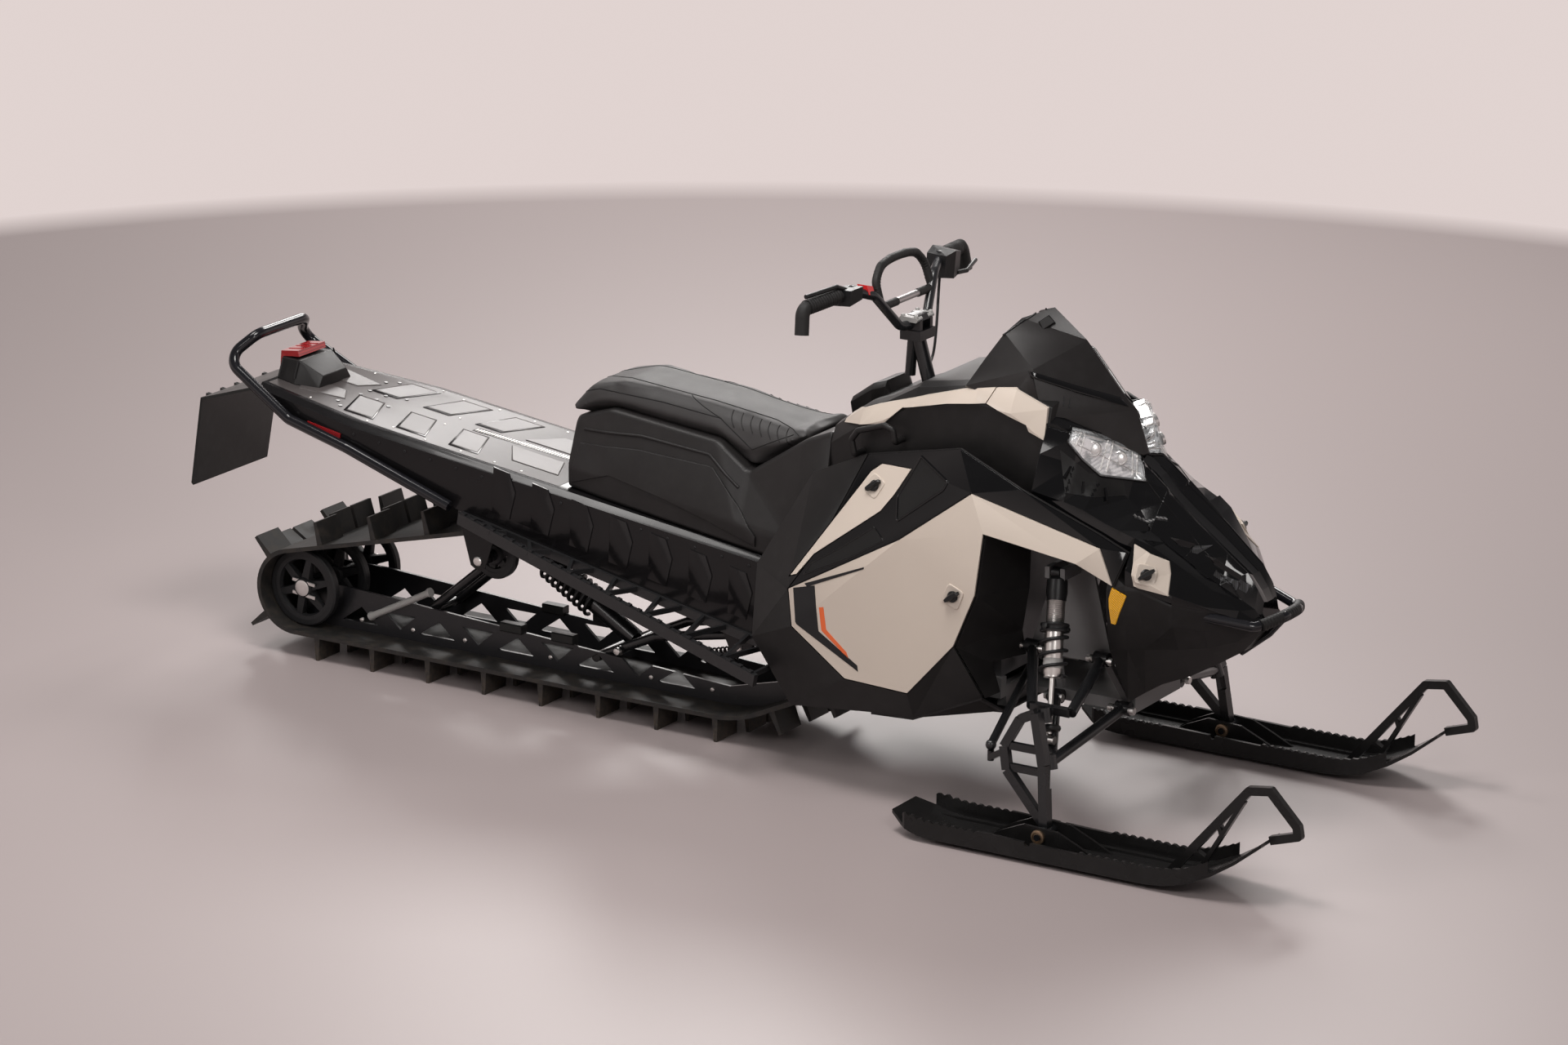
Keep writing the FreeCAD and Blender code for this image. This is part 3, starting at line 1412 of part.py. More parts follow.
def make_ski():
    """Right-hand ski: sole, two toothed side rails, keel and the saddle for the spindle."""
    centre = STANCE / 2
    xs = [SKI_TAIL_X, 680, 720, 760, 1040, 1320, 1376, 1432, 1488, 1544, SKI_TIP_X]
    low = [(x, ski_line(x)) for x in xs]
    sole = low + [(x, z + SKI_SOLE) for x, z in reversed(low)]

    def rail_z(x):
        """Height of the rails' upper edge, falling away at tail and tip."""
        share = min(1.0, (x - SKI_TAIL_X) / 60, (SKI_TIP_X - x) / 120)
        return ski_line(x) + SKI_SOLE + SKI_RAIL * (0.3 + 0.7 * share)

    teeth = toothed_top(rail_z, 680, SKI_BOLT_X - 130, 22, 5) + toothed_top(
        rail_z, SKI_BOLT_X + 130, 1490, 22, 5,
    )
    rail = low + [(SKI_TIP_X, rail_z(SKI_TIP_X))] + list(reversed(teeth)) + [
        (SKI_TAIL_X, rail_z(SKI_TAIL_X))
    ]
    half = SKI_WIDTH / 2
    pieces = [prism_y(sole, -centre - half, -centre + half)]
    pieces.append(prism_y(rail, -centre - half, -centre - half + SKI_WALL))
    pieces.append(prism_y(rail, -centre + half - SKI_WALL, -centre + half))
    keel = [
        (720, KEEL_DEPTH + 2), (760, 0), (1320, 0), (1390, KEEL_DEPTH + 6), (1390, KEEL_DEPTH + 12),
        (720, KEEL_DEPTH + 10),
    ]
    pieces.append(prism_y(keel, -centre - KEEL_WIDTH / 2, -centre + KEEL_WIDTH / 2))
    top = KEEL_DEPTH + SKI_SOLE
    saddle = [
        (SKI_BOLT_X - 150, top - 1), (SKI_BOLT_X + 165, top - 1), (SKI_BOLT_X + 110, SKI_BOLT_Z - 6),
    ]
    saddle += [
        (SKI_BOLT_X + 50, SKI_BOLT_Z + 20), (SKI_BOLT_X - 40, SKI_BOLT_Z + 24),
        (SKI_BOLT_X - 100, SKI_BOLT_Z - 2),
    ]
    for y in (-centre - SADDLE_HALF - SADDLE_THICK, -centre + SADDLE_HALF):
        pieces.append(prism_y(saddle, y, y + SADDLE_THICK))
    for y in (-centre - 58, -centre + 50):
        pieces.append(box(SKI_BOLT_X + 90, 1400, y, y + 8, top - 1, top + 6))
        pieces.append(box(700, SKI_BOLT_X - 90, y, y + 8, top - 1, top + 6))
    ski = fuse(pieces)
    hole = rod(
        (SKI_BOLT_X, -centre - half, SKI_BOLT_Z), (SKI_BOLT_X, -centre + half, SKI_BOLT_Z), SKI_BOLT_R,
    )
    plan = []
    for x, share in [
        (SKI_TAIL_X, 0.62), (SKI_TAIL_X + 50, 0.95), (SKI_TAIL_X + 90, 1.0), (1420, 1.0), (1520, 0.84),
        (SKI_TIP_X, 0.52),
    ]:
        plan.append((x, -centre - half * share))
    plan += [(x, -2 * centre - y) for x, y in reversed(plan)]
    return ski.common(prism_z(plan, -10, 400)).cut(hole)


def make_ski_loop():
    """Right-hand ski loop: a truss handle from the deck to the tip."""
    centre = STANCE / 2
    base_z = ski_line(1340) + SKI_SOLE
    points = [
        (1322, base_z - 4), (1345, base_z - 4), (1545, 254), (1598, 262), (1668, 190), (1672, 168),
        (1602, 146),
    ]
    pieces = []
    for a, b in zip(points[1:], points[2:]):
        pieces.append(beam((a[0], -centre, a[1]), (b[0], -centre, b[1]), 20, LOOP_BAR, (0, 1, 0)))
    for x, z in points[2:-1]:
        pieces.append(rod((x, -centre - LOOP_BAR / 2, z), (x, -centre + LOOP_BAR / 2, z), 10))
    foot = (1412, base_z - 2)
    top = (1532, 226)
    truss = 10.0
    pieces.append(
        beam((foot[0], -centre, foot[1]), (top[0], -centre, top[1]), truss, LOOP_BAR, (0, 1, 0))
    )
    for share in (0.3, 0.62):
        a = [p + (q - p) * share for p, q in zip(points[1], points[2])]
        b = [p + (q - p) * (share - 0.06) for p, q in zip(foot, top)]
        pieces.append(beam((a[0], -centre, a[1]), (b[0], -centre, b[1]), truss, LOOP_BAR, (0, 1, 0)))
    return largest(fuse(pieces).cut(make_ski()))


def make_spindle():
    """Right-hand spindle: a forged truss from the ball joints to the ski bolt."""
    centre = STANCE / 2
    low, along = kingpin()
    outset = BALL_R + JOINT_GAP + SPINDLE_THICK / 2

    def point(x, z):
        """Place in the spindle's plane, outboard of the arms' ball joints."""
        share = (z - SKI_BOLT_Z) / (UPPER_BALL[2] - SKI_BOLT_Z)
        top = -UPPER_BALL[1] - outset - 4
        return (x, -centre + (top + centre) * share, z)

    main_leg = [(SKI_BOLT_X, SKI_BOLT_Z + 4), LOWER_BALL[::2], (UPPER_BALL[0] - 4, UPPER_BALL[2] + 14)]
    rear_leg = [(SKI_BOLT_X - 6, SKI_BOLT_Z + 20), (908, 182), (896, 236), (932, 306), main_leg[2]]
    pieces = []
    for leg, width in ((main_leg, 26), (rear_leg, 18)):
        for a, b in zip(leg, leg[1:]):
            pieces.append(beam(point(*a), point(*b), SPINDLE_THICK, width, (0, 1, 0)))
    for z in (190, 240):
        pieces.append(
            beam(
                point(903, z), point(LOWER_BALL[0] - (z - LOWER_BALL[2]) * 0.26, z), SPINDLE_THICK - 4,
                12, (0, 1, 0),
            )
        )
    tx, ty, tz = TIE_BALL
    pieces.append(beam(point(900, 226), (tx, -ty, tz - TIE_DROP), 16, 14, (0, 0, 1)))
    pieces.append(rod((tx, -ty, tz - TIE_DROP - 8), (tx, -ty, tz - TIE_BALL_R - JOINT_GAP), 8))
    foot_y = SADDLE_HALF - JOINT_GAP
    pieces.append(
        rod((SKI_BOLT_X, -centre - foot_y, SKI_BOLT_Z), (SKI_BOLT_X, -centre + foot_y, SKI_BOLT_Z), 17)
    )
    bolt_y = SADDLE_HALF + SADDLE_THICK + 9
    bolt = rod(
        (SKI_BOLT_X, -centre - bolt_y, SKI_BOLT_Z), (SKI_BOLT_X, -centre + bolt_y, SKI_BOLT_Z),
        SKI_BOLT_R - 0.05,
    )
    pieces.append(bolt)
    room = Part.makeCylinder(BALL_R + JOINT_GAP, 400, low - along * 60, along)
    truss = fuse(pieces[:-3]).cut(room)
    return fuse([truss] + pieces[-3:])


def make_tie_rod():
    """Right-hand tie rod, from the spindle's arm to the steering link."""
    tx, ty, tz = TIE_BALL
    ix, iy, iz = TIE_INNER
    ball = Part.makeSphere(TIE_BALL_R, V(tx, -ty, tz))
    eye = Part.makeSphere(TIE_R + 2, V(ix, -iy, iz))
    return fuse([rod((tx, -ty, tz), (ix, -iy, iz), TIE_R), ball, eye])


def bar_middle():
    """Place forward and height of the handlebar's middle."""
    return POST_TOP[0], POST_TOP[2] + BAR_RISE


def make_post():
    """Steering post with its second leg, and the clamp block that holds the handlebar."""
    post = rod(POST_FOOT, POST_TOP, POST_R)
    x, middle, z = POST_TOP
    block = box(x - 30, x + 26, -36, 36, z - 4, z + 20)
    leg = rod((x - 14, middle, z), (x - 21, middle, z - 98), 13)
    rings = []
    for rear, front, side, height in ((26, 22, 30, 44), (18, 14, 22, 56)):
        corners = ((-rear, side), (front, side), (front, -side), (-rear, -side))
        rings.append([V(x + dx, dy, z + height) for dx, dy in corners])
    cap = hull_loft(rings)
    sides = [box(x - 26, x + 22, a, a + 12, z + 18, z + 45) for a in (-30, 18)]
    return fuse([post, block, leg, cap] + sides).cut(make_handlebar())


def make_handlebar():
    """Bent tube handlebar with its cross brace."""
    x, z = bar_middle()
    right = [
        (x, 0, z), (x - 14, -62, z + 2), (x - 40, -140, z + 90), (x - 62, -205, z + 112),
        (x - 96, -372, z + 100),
    ]
    pieces = []
    for side in (1, -1):
        pieces.append(tube([(a, b * side, c) for a, b, c in right], BAR_R, 30))
    pieces.append(rod((x - 33, -112, z + 59), (x - 33, 112, z + 59), 6))
    return fuse(pieces)


def make_grab_hoop():
    """Rubber wrapped hoop over the handlebar's middle."""
    x, z = bar_middle()
    half = [
        (x - 36, -118, z + 68), (x - 52, -116, z + 118), (x - 58, -84, z + 150), (x - 60, -34, z + 158),
    ]
    points = half + [(a, -b, c) for a, b, c in reversed(half)]
    return tube(points, 10, 30).cut(make_handlebar())


def make_stop_switch():
    """Red stop switch at the inner end of the right grip."""
    x, z = bar_middle()
    low = [
        V(x - 66, -170, z + 100), V(x - 36, -170, z + 100), V(x - 36, -142, z + 92),
        V(x - 66, -142, z + 92),
    ]
    high = [p + V(-4 if p.x < x - 50 else -8, 0, 22) for p in low]
    return hull_loft([low, high]).cut(make_handlebar())


def make_controls(side):
    """Brake reservoir with its lever on the left, throttle block with its lever on the right."""
    x, z = bar_middle()
    if side > 0:
        rings = [
            [
                V(x - 92, 188, z + 60), V(x - 40, 188, z + 66), V(x - 34, 188, z + 120),
                V(x - 88, 188, z + 122),
            ],
            [
                V(x - 96, 222, z + 50), V(x - 32, 222, z + 58), V(x - 26, 222, z + 128),
                V(x - 92, 222, z + 134),
            ],
            [
                V(x - 98, 262, z + 56), V(x - 40, 262, z + 62), V(x - 36, 262, z + 118),
                V(x - 94, 262, z + 124),
            ],
        ]
        levers = [
            ((x - 40, 250, z + 66), (x - 34, 290, z + 64)),
            ((x - 34, 286, z + 64), (x - 58, 372, z + 70)),
        ]
    else:
        rings = [
            [
                V(x - 84, -196, z + 90), V(x - 40, -196, z + 94), V(x - 38, -196, z + 126),
                V(x - 80, -196, z + 124),
            ],
            [
                V(x - 92, -246, z + 82), V(x - 44, -246, z + 86), V(x - 42, -246, z + 124),
                V(x - 90, -246, z + 124),
            ],
        ]
        levers = [
            ((x - 66, -232, z + 122), (x - 72, -262, z + 134)),
            ((x - 72, -258, z + 134), (x - 94, -364, z + 128)),
        ]
    pieces = [hull_loft(rings)] + [rod(a, b, 5.5) for a, b in levers]
    return largest(fuse(pieces).cut(make_handlebar()).cut(make_grips()))


def make_brake_line():
    """Hose from the brake block down to the clip on the steering post."""
    x, z = bar_middle()
    points = [
        (x - 66, 214, z + 76), (x - 70, 214, z + 12), (x - 46, 168, z - 36),
        (x - 10, 96, z - 84), (x + 8, 50, z - 104), (x + 22, 10, z - 108),
    ]
    line = tube(points, HOSE_R, 9)
    for neighbour in (make_controls(1), make_post()):
        line = line.cut(neighbour)
    return largest(line)


def make_engine():
    """Engine and gearcase as one plain block between the side panels."""
    return box(ENGINE_REAR_X, ENGINE_FRONT_X, -ENGINE_HALF, ENGINE_HALF, ENGINE_LOW, ENGINE_TOP)


def make_grips():
    """Rubber grips with hooked ends."""
    x, z = bar_middle()
    solids = []
    for side in (-1, 1):
        points = [(x - 73, 250, z + 109.6), (x - 97, 372, z + 100.5), (x - 92, 384, z + 40)]
        points = [(a, b * side, c) for a, b, c in points]
        solids.append(tube(points, GRIP_R, 24).cut(make_handlebar()))
    return group(solids)


def main():
    """Build and write every node."""
    save("track", make_track())
    save("idler_wheels", make_idler_wheels())
    save("drive_axle", make_drive_axle())
    save("slide_rails", make_slide_rails())
    save("torque_arms", make_torque_arms())
    save("track_shocks", make_track_shocks())
    save("tunnel", make_tunnel())
    board = make_running_board()
    save("running_board_right", board)
    save("running_board_left", mirror_y(board))
    save("rear_bumper", make_rear_bumper())
    save("snow_flap", make_snow_flap())
    save("tail_light", make_tail_light())
    save("tail_lens", make_tail_lens())
    save("seat", make_seat())
    save("seat_base", make_seat_base())
    for name in ("fairing", "panel", "fender"):
        piece = make_side(name)
        save("side_" + name + "_right", piece)
        save("side_" + name + "_left", mirror_y(piece))
    save("hood", make_hood())
    save("nose", make_nose())
    cover = make_front_cover()
    save("front_covers", group([cover, mirror_y(cover)]))
    save("reflectors", make_reflectors())
    save("side_reflectors", make_side_reflectors())
    liner = make_arch_liner()
    save("arch_liner_right", liner)
    save("arch_liner_left", mirror_y(liner))
    save("belly_pan", make_belly_pan())
    save("windshield", make_windshield())
    lamp = make_headlight()
    save("headlights", group([lamp, mirror_y(lamp)]))
    save("console", make_console())
    save("console_trim", make_console_trim())
    save("grab_handles", make_grab_handles())
    save("front_bumper", make_front_bumper())
    save("bulkhead", make_bulkhead())
    arms = make_arms()
    save("a_arms_right", arms)
    save("a_arms_left", mirror_y(arms))
    shock = make_ski_shock()
    save("ski_shock_right", shock)
    save("ski_shock_left", mirror_y(shock))
    for name, maker in (("ski", make_ski), ("ski_loop", make_ski_loop), ("spindle", make_spindle)):
        piece = maker()
        save(name + "_right", piece)
        save(name + "_left", mirror_y(piece))
    tie = make_tie_rod()
    save("tie_rod_right", tie)
    save("tie_rod_left", mirror_y(tie))
    save("ski_springs", make_ski_springs())
    save("grab_hoop", make_grab_hoop())
    save("stop_switch", make_stop_switch())
    save("brake_control", make_controls(1))
    save("brake_line", make_brake_line())
    save("throttle_control", make_controls(-1))
    save("engine", make_engine())
    save("steering_post", make_post())
    save("handlebar", make_handlebar())
    save("grips", make_grips())
    print("belt length", round(belt_length(0)))


main()
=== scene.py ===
"""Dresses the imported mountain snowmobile.

Every CAD node gets a finish, the folded panels get softened edges, and the seat, the
lamps, the springs and the small fittings are built as surfaces of their own.  Metres, X forward,
Y to the rider's left, Z up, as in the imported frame.
"""

import json
import logging
import math
from dataclasses import dataclass
from enum import Enum
from typing import Iterable, Sequence

import bmesh
import bpy
import numpy as np
from mathutils import Matrix, Vector

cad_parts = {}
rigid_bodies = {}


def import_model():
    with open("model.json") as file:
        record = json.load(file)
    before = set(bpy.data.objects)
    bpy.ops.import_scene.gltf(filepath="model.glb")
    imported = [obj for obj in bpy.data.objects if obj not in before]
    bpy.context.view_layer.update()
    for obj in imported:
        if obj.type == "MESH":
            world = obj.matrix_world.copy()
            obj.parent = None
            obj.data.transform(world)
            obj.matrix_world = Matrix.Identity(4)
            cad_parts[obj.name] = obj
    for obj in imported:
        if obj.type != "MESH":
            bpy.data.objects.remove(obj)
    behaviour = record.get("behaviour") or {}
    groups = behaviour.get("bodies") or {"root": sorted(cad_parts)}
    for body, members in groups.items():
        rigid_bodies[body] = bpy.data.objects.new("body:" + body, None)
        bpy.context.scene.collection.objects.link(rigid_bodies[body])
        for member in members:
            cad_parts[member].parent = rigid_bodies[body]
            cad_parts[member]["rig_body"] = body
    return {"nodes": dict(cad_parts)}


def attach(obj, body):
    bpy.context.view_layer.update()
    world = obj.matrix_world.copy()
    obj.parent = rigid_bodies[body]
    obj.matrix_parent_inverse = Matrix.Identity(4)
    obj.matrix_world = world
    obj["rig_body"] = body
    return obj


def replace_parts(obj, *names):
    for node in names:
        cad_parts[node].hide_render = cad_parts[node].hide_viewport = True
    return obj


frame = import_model()

LOG = logging.getLogger("snowmobile")
Colour = tuple[float, float, float]
Point = tuple[float, float, float]
Pair = tuple[float, float]
Vec = Sequence[float]
Socket = bpy.types.NodeSocket
Line = tuple[Point, ...]
Pairs = tuple[Pair, ...]


# Shader maths


class Signal:
    """A number that changes over a surface; Python's operators add its Math nodes."""

    def __init__(self, graph: "Graph", socket: Socket) -> None:
        """Keeps the tree and the socket that carries the value."""
        self.graph = graph
        self.socket = socket

    def __add__(self, other: "Signal | float") -> "Signal":
        """Sum."""
        return self.graph.maths("ADD", self, other)

    __radd__ = __add__

    def __mul__(self, other: "Signal | float") -> "Signal":
        """Product."""
        return self.graph.maths("MULTIPLY", self, other)

    __rmul__ = __mul__

    def __sub__(self, other: "Signal | float") -> "Signal":
        """Difference."""
        return self.graph.maths("SUBTRACT", self, other)

    def __rsub__(self, other: float) -> "Signal":
        """Difference with the number first."""
        return self.graph.maths("SUBTRACT", other, self)

    def __pow__(self, other: float) -> "Signal":
        """Power."""
        return self.graph.maths("POWER", self, other)

    def sine(self) -> "Signal":
        """Sine of the value in radians."""
        return self.graph.maths("SINE", self)

    def size(self) -> "Signal":
        """Value without its sign."""
        return self.graph.maths("ABSOLUTE", self)

    def above(self, level: float, blur: float) -> "Signal":
        """0 below the level and 1 above it, with a soft step as wide as blur."""
        scaled = (self - level) * (1.0 / blur) + 0.5
        return self.graph.maths("ADD", scaled, 0.0, clamp=True)


class Graph:
    """Node tree of one finish, or of the sky."""

    def __init__(self, name: str, owner: bpy.types.ID | None = None) -> None:
        """Opens an empty tree.

        Args:
            name: the new material's name.
            owner: what is filled in place of a new material.
        """
        self.owner = owner or bpy.data.materials.new(name)
        self.owner.use_nodes = True
        self.tree = self.owner.node_tree
        self.tree.nodes.clear()

    def node(self, kind: str, inputs: dict | None = None, **settings: object) -> bpy.types.Node:
        """Adds one node.

        Args:
            kind: the node's Blender type.
            inputs: socket names or numbers with a value, a Signal or a socket.
            settings: attributes, set before the sockets.

        Returns:
            The new node.
        """
        node = self.tree.nodes.new(kind)
        for name, value in settings.items():
            setattr(node, name, value)
        for name, value in (inputs or {}).items():
            source = value.socket if isinstance(value, Signal) else value
            if isinstance(source, Socket):
                self.tree.links.new(source, node.inputs[name])
            else:
                node.inputs[name].default_value = source
        return node

    def maths(self, operation: str, *values: "Signal | float", clamp: bool = False) -> Signal:
        """One Math node on the given values."""
        node = self.node("ShaderNodeMath", dict(enumerate(values)), operation=operation, use_clamp=clamp)
        return Signal(self, node.outputs[0])

    def axes(self) -> tuple[Signal, Signal, Signal]:
        """The surface's place along X, Y and Z in metres."""
        split = self.node("ShaderNodeSeparateXYZ", {0: self.place()})
        return tuple(Signal(self, socket) for socket in split.outputs)

    def place(self) -> Socket:
        """The surface's place as a vector."""
        return self.node("ShaderNodeTexCoord").outputs["Object"]

    def stretched(self, scale: Point) -> Socket:
        """The surface's place, drawn out along the axes."""
        return self.node("ShaderNodeMapping", {"Vector": self.place(), "Scale": scale}).outputs[0]

    def noise(self, scale: float, detail: float = 3.0, vector: Socket | None = None) -> Signal:
        """Cloudy noise between 0 and 1, its scale in waves per metre."""
        inputs = {"Vector": vector or self.place(), "Scale": scale, "Detail": detail, "Roughness": 0.55}
        return Signal(self, self.node("ShaderNodeTexNoise", inputs).outputs[0])

    def cells(self, scale: float) -> Signal:
        """Distance to the nearest cell centre, its scale in cells per metre."""
        inputs = {"Vector": self.place(), "Scale": scale}
        return Signal(self, self.node("ShaderNodeTexVoronoi", inputs).outputs["Distance"])

    def mixed(self, low: Colour | Socket, high: Colour | Socket, share: Signal) -> Socket:
        """Colour between two others."""
        first, second = (c if isinstance(c, Socket) else (*c, 1.0) for c in (low, high))
        return self.node("ShaderNodeMix", {0: share, 6: first, 7: second}, data_type="RGBA").outputs[2]

    def bump(self, height: Signal, depth: float, below: Socket | None = None) -> Socket:
        """Relief of a depth in metres, on top of another relief if one is given.

        Args:
            height: the relief, 0 to 1.
            depth: its depth in metres.
            below: the other relief.

        Returns:
            The bent normal.
        """
        inputs = {"Height": height, "Distance": depth, "Strength": 1.0}
        if below is not None:
            inputs["Normal"] = below
        return self.node("ShaderNodeBump", inputs).outputs[0]

    def seen(self) -> Signal:
        """One for rays that see the backdrop: from the camera, a reflection or through glass.

        Returns:
            A value of 0 or 1.
        """
        rays = self.node("ShaderNodeLightPath")
        first, second, third = (Signal(self, rays.outputs[f"Is {kind} Ray"])
                                for kind in ("Camera", "Glossy", "Transmission"))
        return self.maths("MINIMUM", first + second + third, 1.0)

    def finish(self, **inputs: object) -> bpy.types.Material:
        """Closes the tree with the surface shader.

        Args:
            inputs: the shader's sockets, with underscores for the spaces in their names.

        Returns:
            The finished material.
        """
        named = {name.replace("_", " "): value for name, value in inputs.items()}
        if isinstance(named.get("Base Color"), tuple):
            named["Base Color"] = (*named["Base Color"], 1.0)
        shader = self.node("ShaderNodeBsdfPrincipled", named)
        self.node("ShaderNodeOutputMaterial", {"Surface": shader.outputs[0]})
        return self.owner


# Finishes


@dataclass(frozen=True)
class Moulded:
    """Matte moulded plastic with a fine grain and a trace of dust.

    The grain is cells about a millimetre across; gloss and colour drift slowly, and pale
    dust lies in patches.
    """

    colour: Colour
    roughness: float = 0.5
    grain: float = 0.00006
    dust: float = 0.12

    def material(self, name: str) -> bpy.types.Material:
        """Builds the material.

        Args:
            name: the material's name.

        Returns:
            The finished material.
        """
        graph = Graph(name)
        cloud = graph.noise(7.0)
        patches = graph.noise(26.0, 5.0).above(0.6, 0.25) * self.dust
        dusty = tuple(0.8 * c + 0.03 for c in self.colour)
        light = tuple(min(1.0, c * 1.25) for c in self.colour)
        tone = graph.mixed(self.colour, light, cloud.above(0.5, 0.5))
        relief = graph.bump(graph.cells(950.0), self.grain)
        relief = graph.bump(graph.noise(60.0), self.grain * 3.0, relief)
        return graph.finish(Base_Color=graph.mixed(tone, dusty, patches), Specular_IOR_Level=0.28,
                            Roughness=cloud * 0.1 + (self.roughness - 0.05), Normal=relief)


@dataclass(frozen=True)
class Lacquer:
    """Gloss plastic or paint: a clear coat over the colour, with faint smears.

    Roughness rises in long wiped smears, and the coat has a very shallow orange peel.
    """

    colour: Colour
    roughness: float = 0.16
    coat: float = 0.5
    calm: bool = False

    def material(self, name: str) -> bpy.types.Material:
        """Builds the material.

        Args:
            name: the material's name.

        Returns:
            The finished material.
        """
        graph = Graph(name)
        smear = graph.noise(6.0, 4.0, graph.stretched((1.0, 1.0, 3.0)))
        peel = graph.bump(graph.noise(220.0, 1.0), 0.00003)
        share = 1.035 if self.calm else 1.2
        light = tuple(min(1.0, c * share + 0.001) for c in self.colour)
        tone = graph.mixed(self.colour, light, graph.noise(5.0).above(0.5, 0.6))
        wiped = smear.above(0.58, 0.3) * 0.10 + self.roughness
        return graph.finish(Base_Color=tone, Roughness=wiped, Coat_Weight=self.coat, Coat_Roughness=0.05,
                            Specular_IOR_Level=0.24, Normal=peel)


@dataclass(frozen=True)
class PowderCoat:
    """Painted metal: a slight pebbled skin, rubbed a little paler in spots."""

    colour: Colour
    roughness: float = 0.34
    wear: float = 0.15

    def material(self, name: str) -> bpy.types.Material:
        """Builds the material.

        Args:
            name: the material's name.

        Returns:
            The finished material.
        """
        graph = Graph(name)
        rubbed = graph.noise(45.0, 6.0).above(0.66, 0.1) * self.wear
        pale = tuple(c + 0.04 for c in self.colour)
        relief = graph.bump(graph.noise(420.0, 2.0), 0.00006)
        return graph.finish(Base_Color=graph.mixed(self.colour, pale, rubbed),
                            Roughness=graph.noise(9.0) * 0.12 + (self.roughness - 0.06), Normal=relief)


@dataclass(frozen=True)
class BareMetal:
    """Unpainted metal, drawn out into fine lines along one axis."""

    colour: Colour
    roughness: float = 0.28
    lines: Point = (1.0, 12.0, 12.0)

    def material(self, name: str) -> bpy.types.Material:
        """Builds the material.

        Args:
            name: the material's name.

        Returns:
            The finished material.
        """
        graph = Graph(name)
        drawn = graph.noise(60.0, 3.0, graph.stretched(self.lines))
        stain = graph.noise(18.0, 4.0).above(0.55, 0.3)
        dark = tuple(c * 0.7 for c in self.colour)
        return graph.finish(Base_Color=graph.mixed(self.colour, dark, stain * 0.5), Metallic=1.0,
                            Roughness=drawn * 0.16 + self.roughness, Normal=graph.bump(drawn, 0.00004))


@dataclass(frozen=True)
class TrackRubber:
    """Black rubber of the belt with dried dust, thickest low down where it has run."""

    colour: Colour = (0.010, 0.0095, 0.009)
    dust_colour: Colour = (0.075, 0.058, 0.044)

    def material(self, name: str) -> bpy.types.Material:
        """Builds the material.

        Args:
            name: the material's name.

        Returns:
            The finished material.
        """
        graph = Graph(name)
        _, _, height = graph.axes()
        low = 1.0 - height.above(0.045, 0.05)
        film = graph.noise(38.0, 6.0).above(0.56, 0.28)
        tips = graph.noise(90.0, 4.0).above(0.45, 0.3) * low * 0.75
        share = graph.maths("MAXIMUM", film * 0.34, tips)
        relief = graph.bump(graph.noise(260.0, 3.0), 0.0002)
        return graph.finish(Base_Color=graph.mixed(self.colour, self.dust_colour, share),
                            Roughness=share * 0.25 + 0.58, Normal=relief)


@dataclass(frozen=True)
class Vinyl:
    """Seat cover: grained vinyl whose top carries fine gripper ribs across the machine."""

    colour: Colour = (0.024, 0.0225, 0.0225)
    rib_pitch: float = 0.0062
    rib_low: float = 0.80

    def material(self, name: str) -> bpy.types.Material:
        """Builds the material.

        Args:
            name: the material's name.

        Returns:
            The finished material.
        """
        graph = Graph(name)
        along, _, height = graph.axes()
        ribs = (along * (2.0 * math.pi / self.rib_pitch)).sine() * 0.5 + 0.5
        top = height.above(self.rib_low, 0.02)
        relief = graph.bump(graph.cells(700.0), 0.00012)
        relief = graph.bump(ribs * top, 0.00006, relief)
        light = tuple(c * 1.25 for c in self.colour)
        tone = graph.mixed(self.colour, light, graph.noise(9.0).above(0.5, 0.5))
        return graph.finish(Base_Color=tone, Roughness=graph.noise(20.0) * 0.12 + 0.50, Normal=relief)


@dataclass(frozen=True)
class Lens:
    """Coloured lens moulded with small square prisms behind its face; a painted glow, where one is set, makes
    it shine by itself, though it is no lamp.
    """

    colour: Colour
    pitch: float = 0.006
    # Emission strength of a painted glow, for a lens that is no lamp.
    painted_glow: float = 0.0

    def material(self, name: str) -> bpy.types.Material:
        """Builds the material.

        Args:
            name: the material's name.

        Returns:
            The finished material.
        """
        graph = Graph(name)
        along, across, height = graph.axes()
        first = ((along + height) * (math.pi / self.pitch)).sine().size()
        second = ((along - height + across) * (math.pi / self.pitch)).sine().size()
        facets = first * second
        dark = tuple(c * 0.35 for c in self.colour)
        tone = graph.mixed(dark, self.colour, facets.above(0.3, 0.5))
        # The emission is a painted glow: with painted_glow above 0 the lens shines by itself, though it is no
        # lamp.
        return graph.finish(Base_Color=tone, Roughness=0.12, Coat_Weight=0.8, Normal=graph.bump(facets, 0.0002),
                            Emission_Color=(*self.colour, 1.0), Emission_Strength=self.painted_glow)


@dataclass(frozen=True)
class Reflector:
    """Bright plated plastic behind the lamp's cover, its polish broken by fine flutes; its colour carries
    painted reflections, as dark and bright patches.
    """

    colour: Colour = (0.86, 0.87, 0.88)
    flute: float = 0.0034

    def material(self, name: str) -> bpy.types.Material:
        """Builds the material.

        Args:
            name: the material's name.

        Returns:
            The finished material.
        """
        graph = Graph(name)
        along, across, _ = graph.axes()
        flutes = ((along - across * 0.6) * (2.0 * math.pi / self.flute)).sine() * 0.5 + 0.5
        haze = graph.noise(60.0, 3.0)
        # Painted reflection: the plating's colour drops to 0.3 in cloudy patches, as dark and bright
        # reflections of the lamp's inside.
        dark = tuple(c * 0.30 for c in self.colour)
        tone = graph.mixed(dark, self.colour, graph.noise(45.0, 2.0).above(0.42, 0.16))
        return graph.finish(Base_Color=tone, Metallic=0.85, Roughness=haze * 0.12 + 0.06,
                            Normal=graph.bump(flutes, 0.0002))


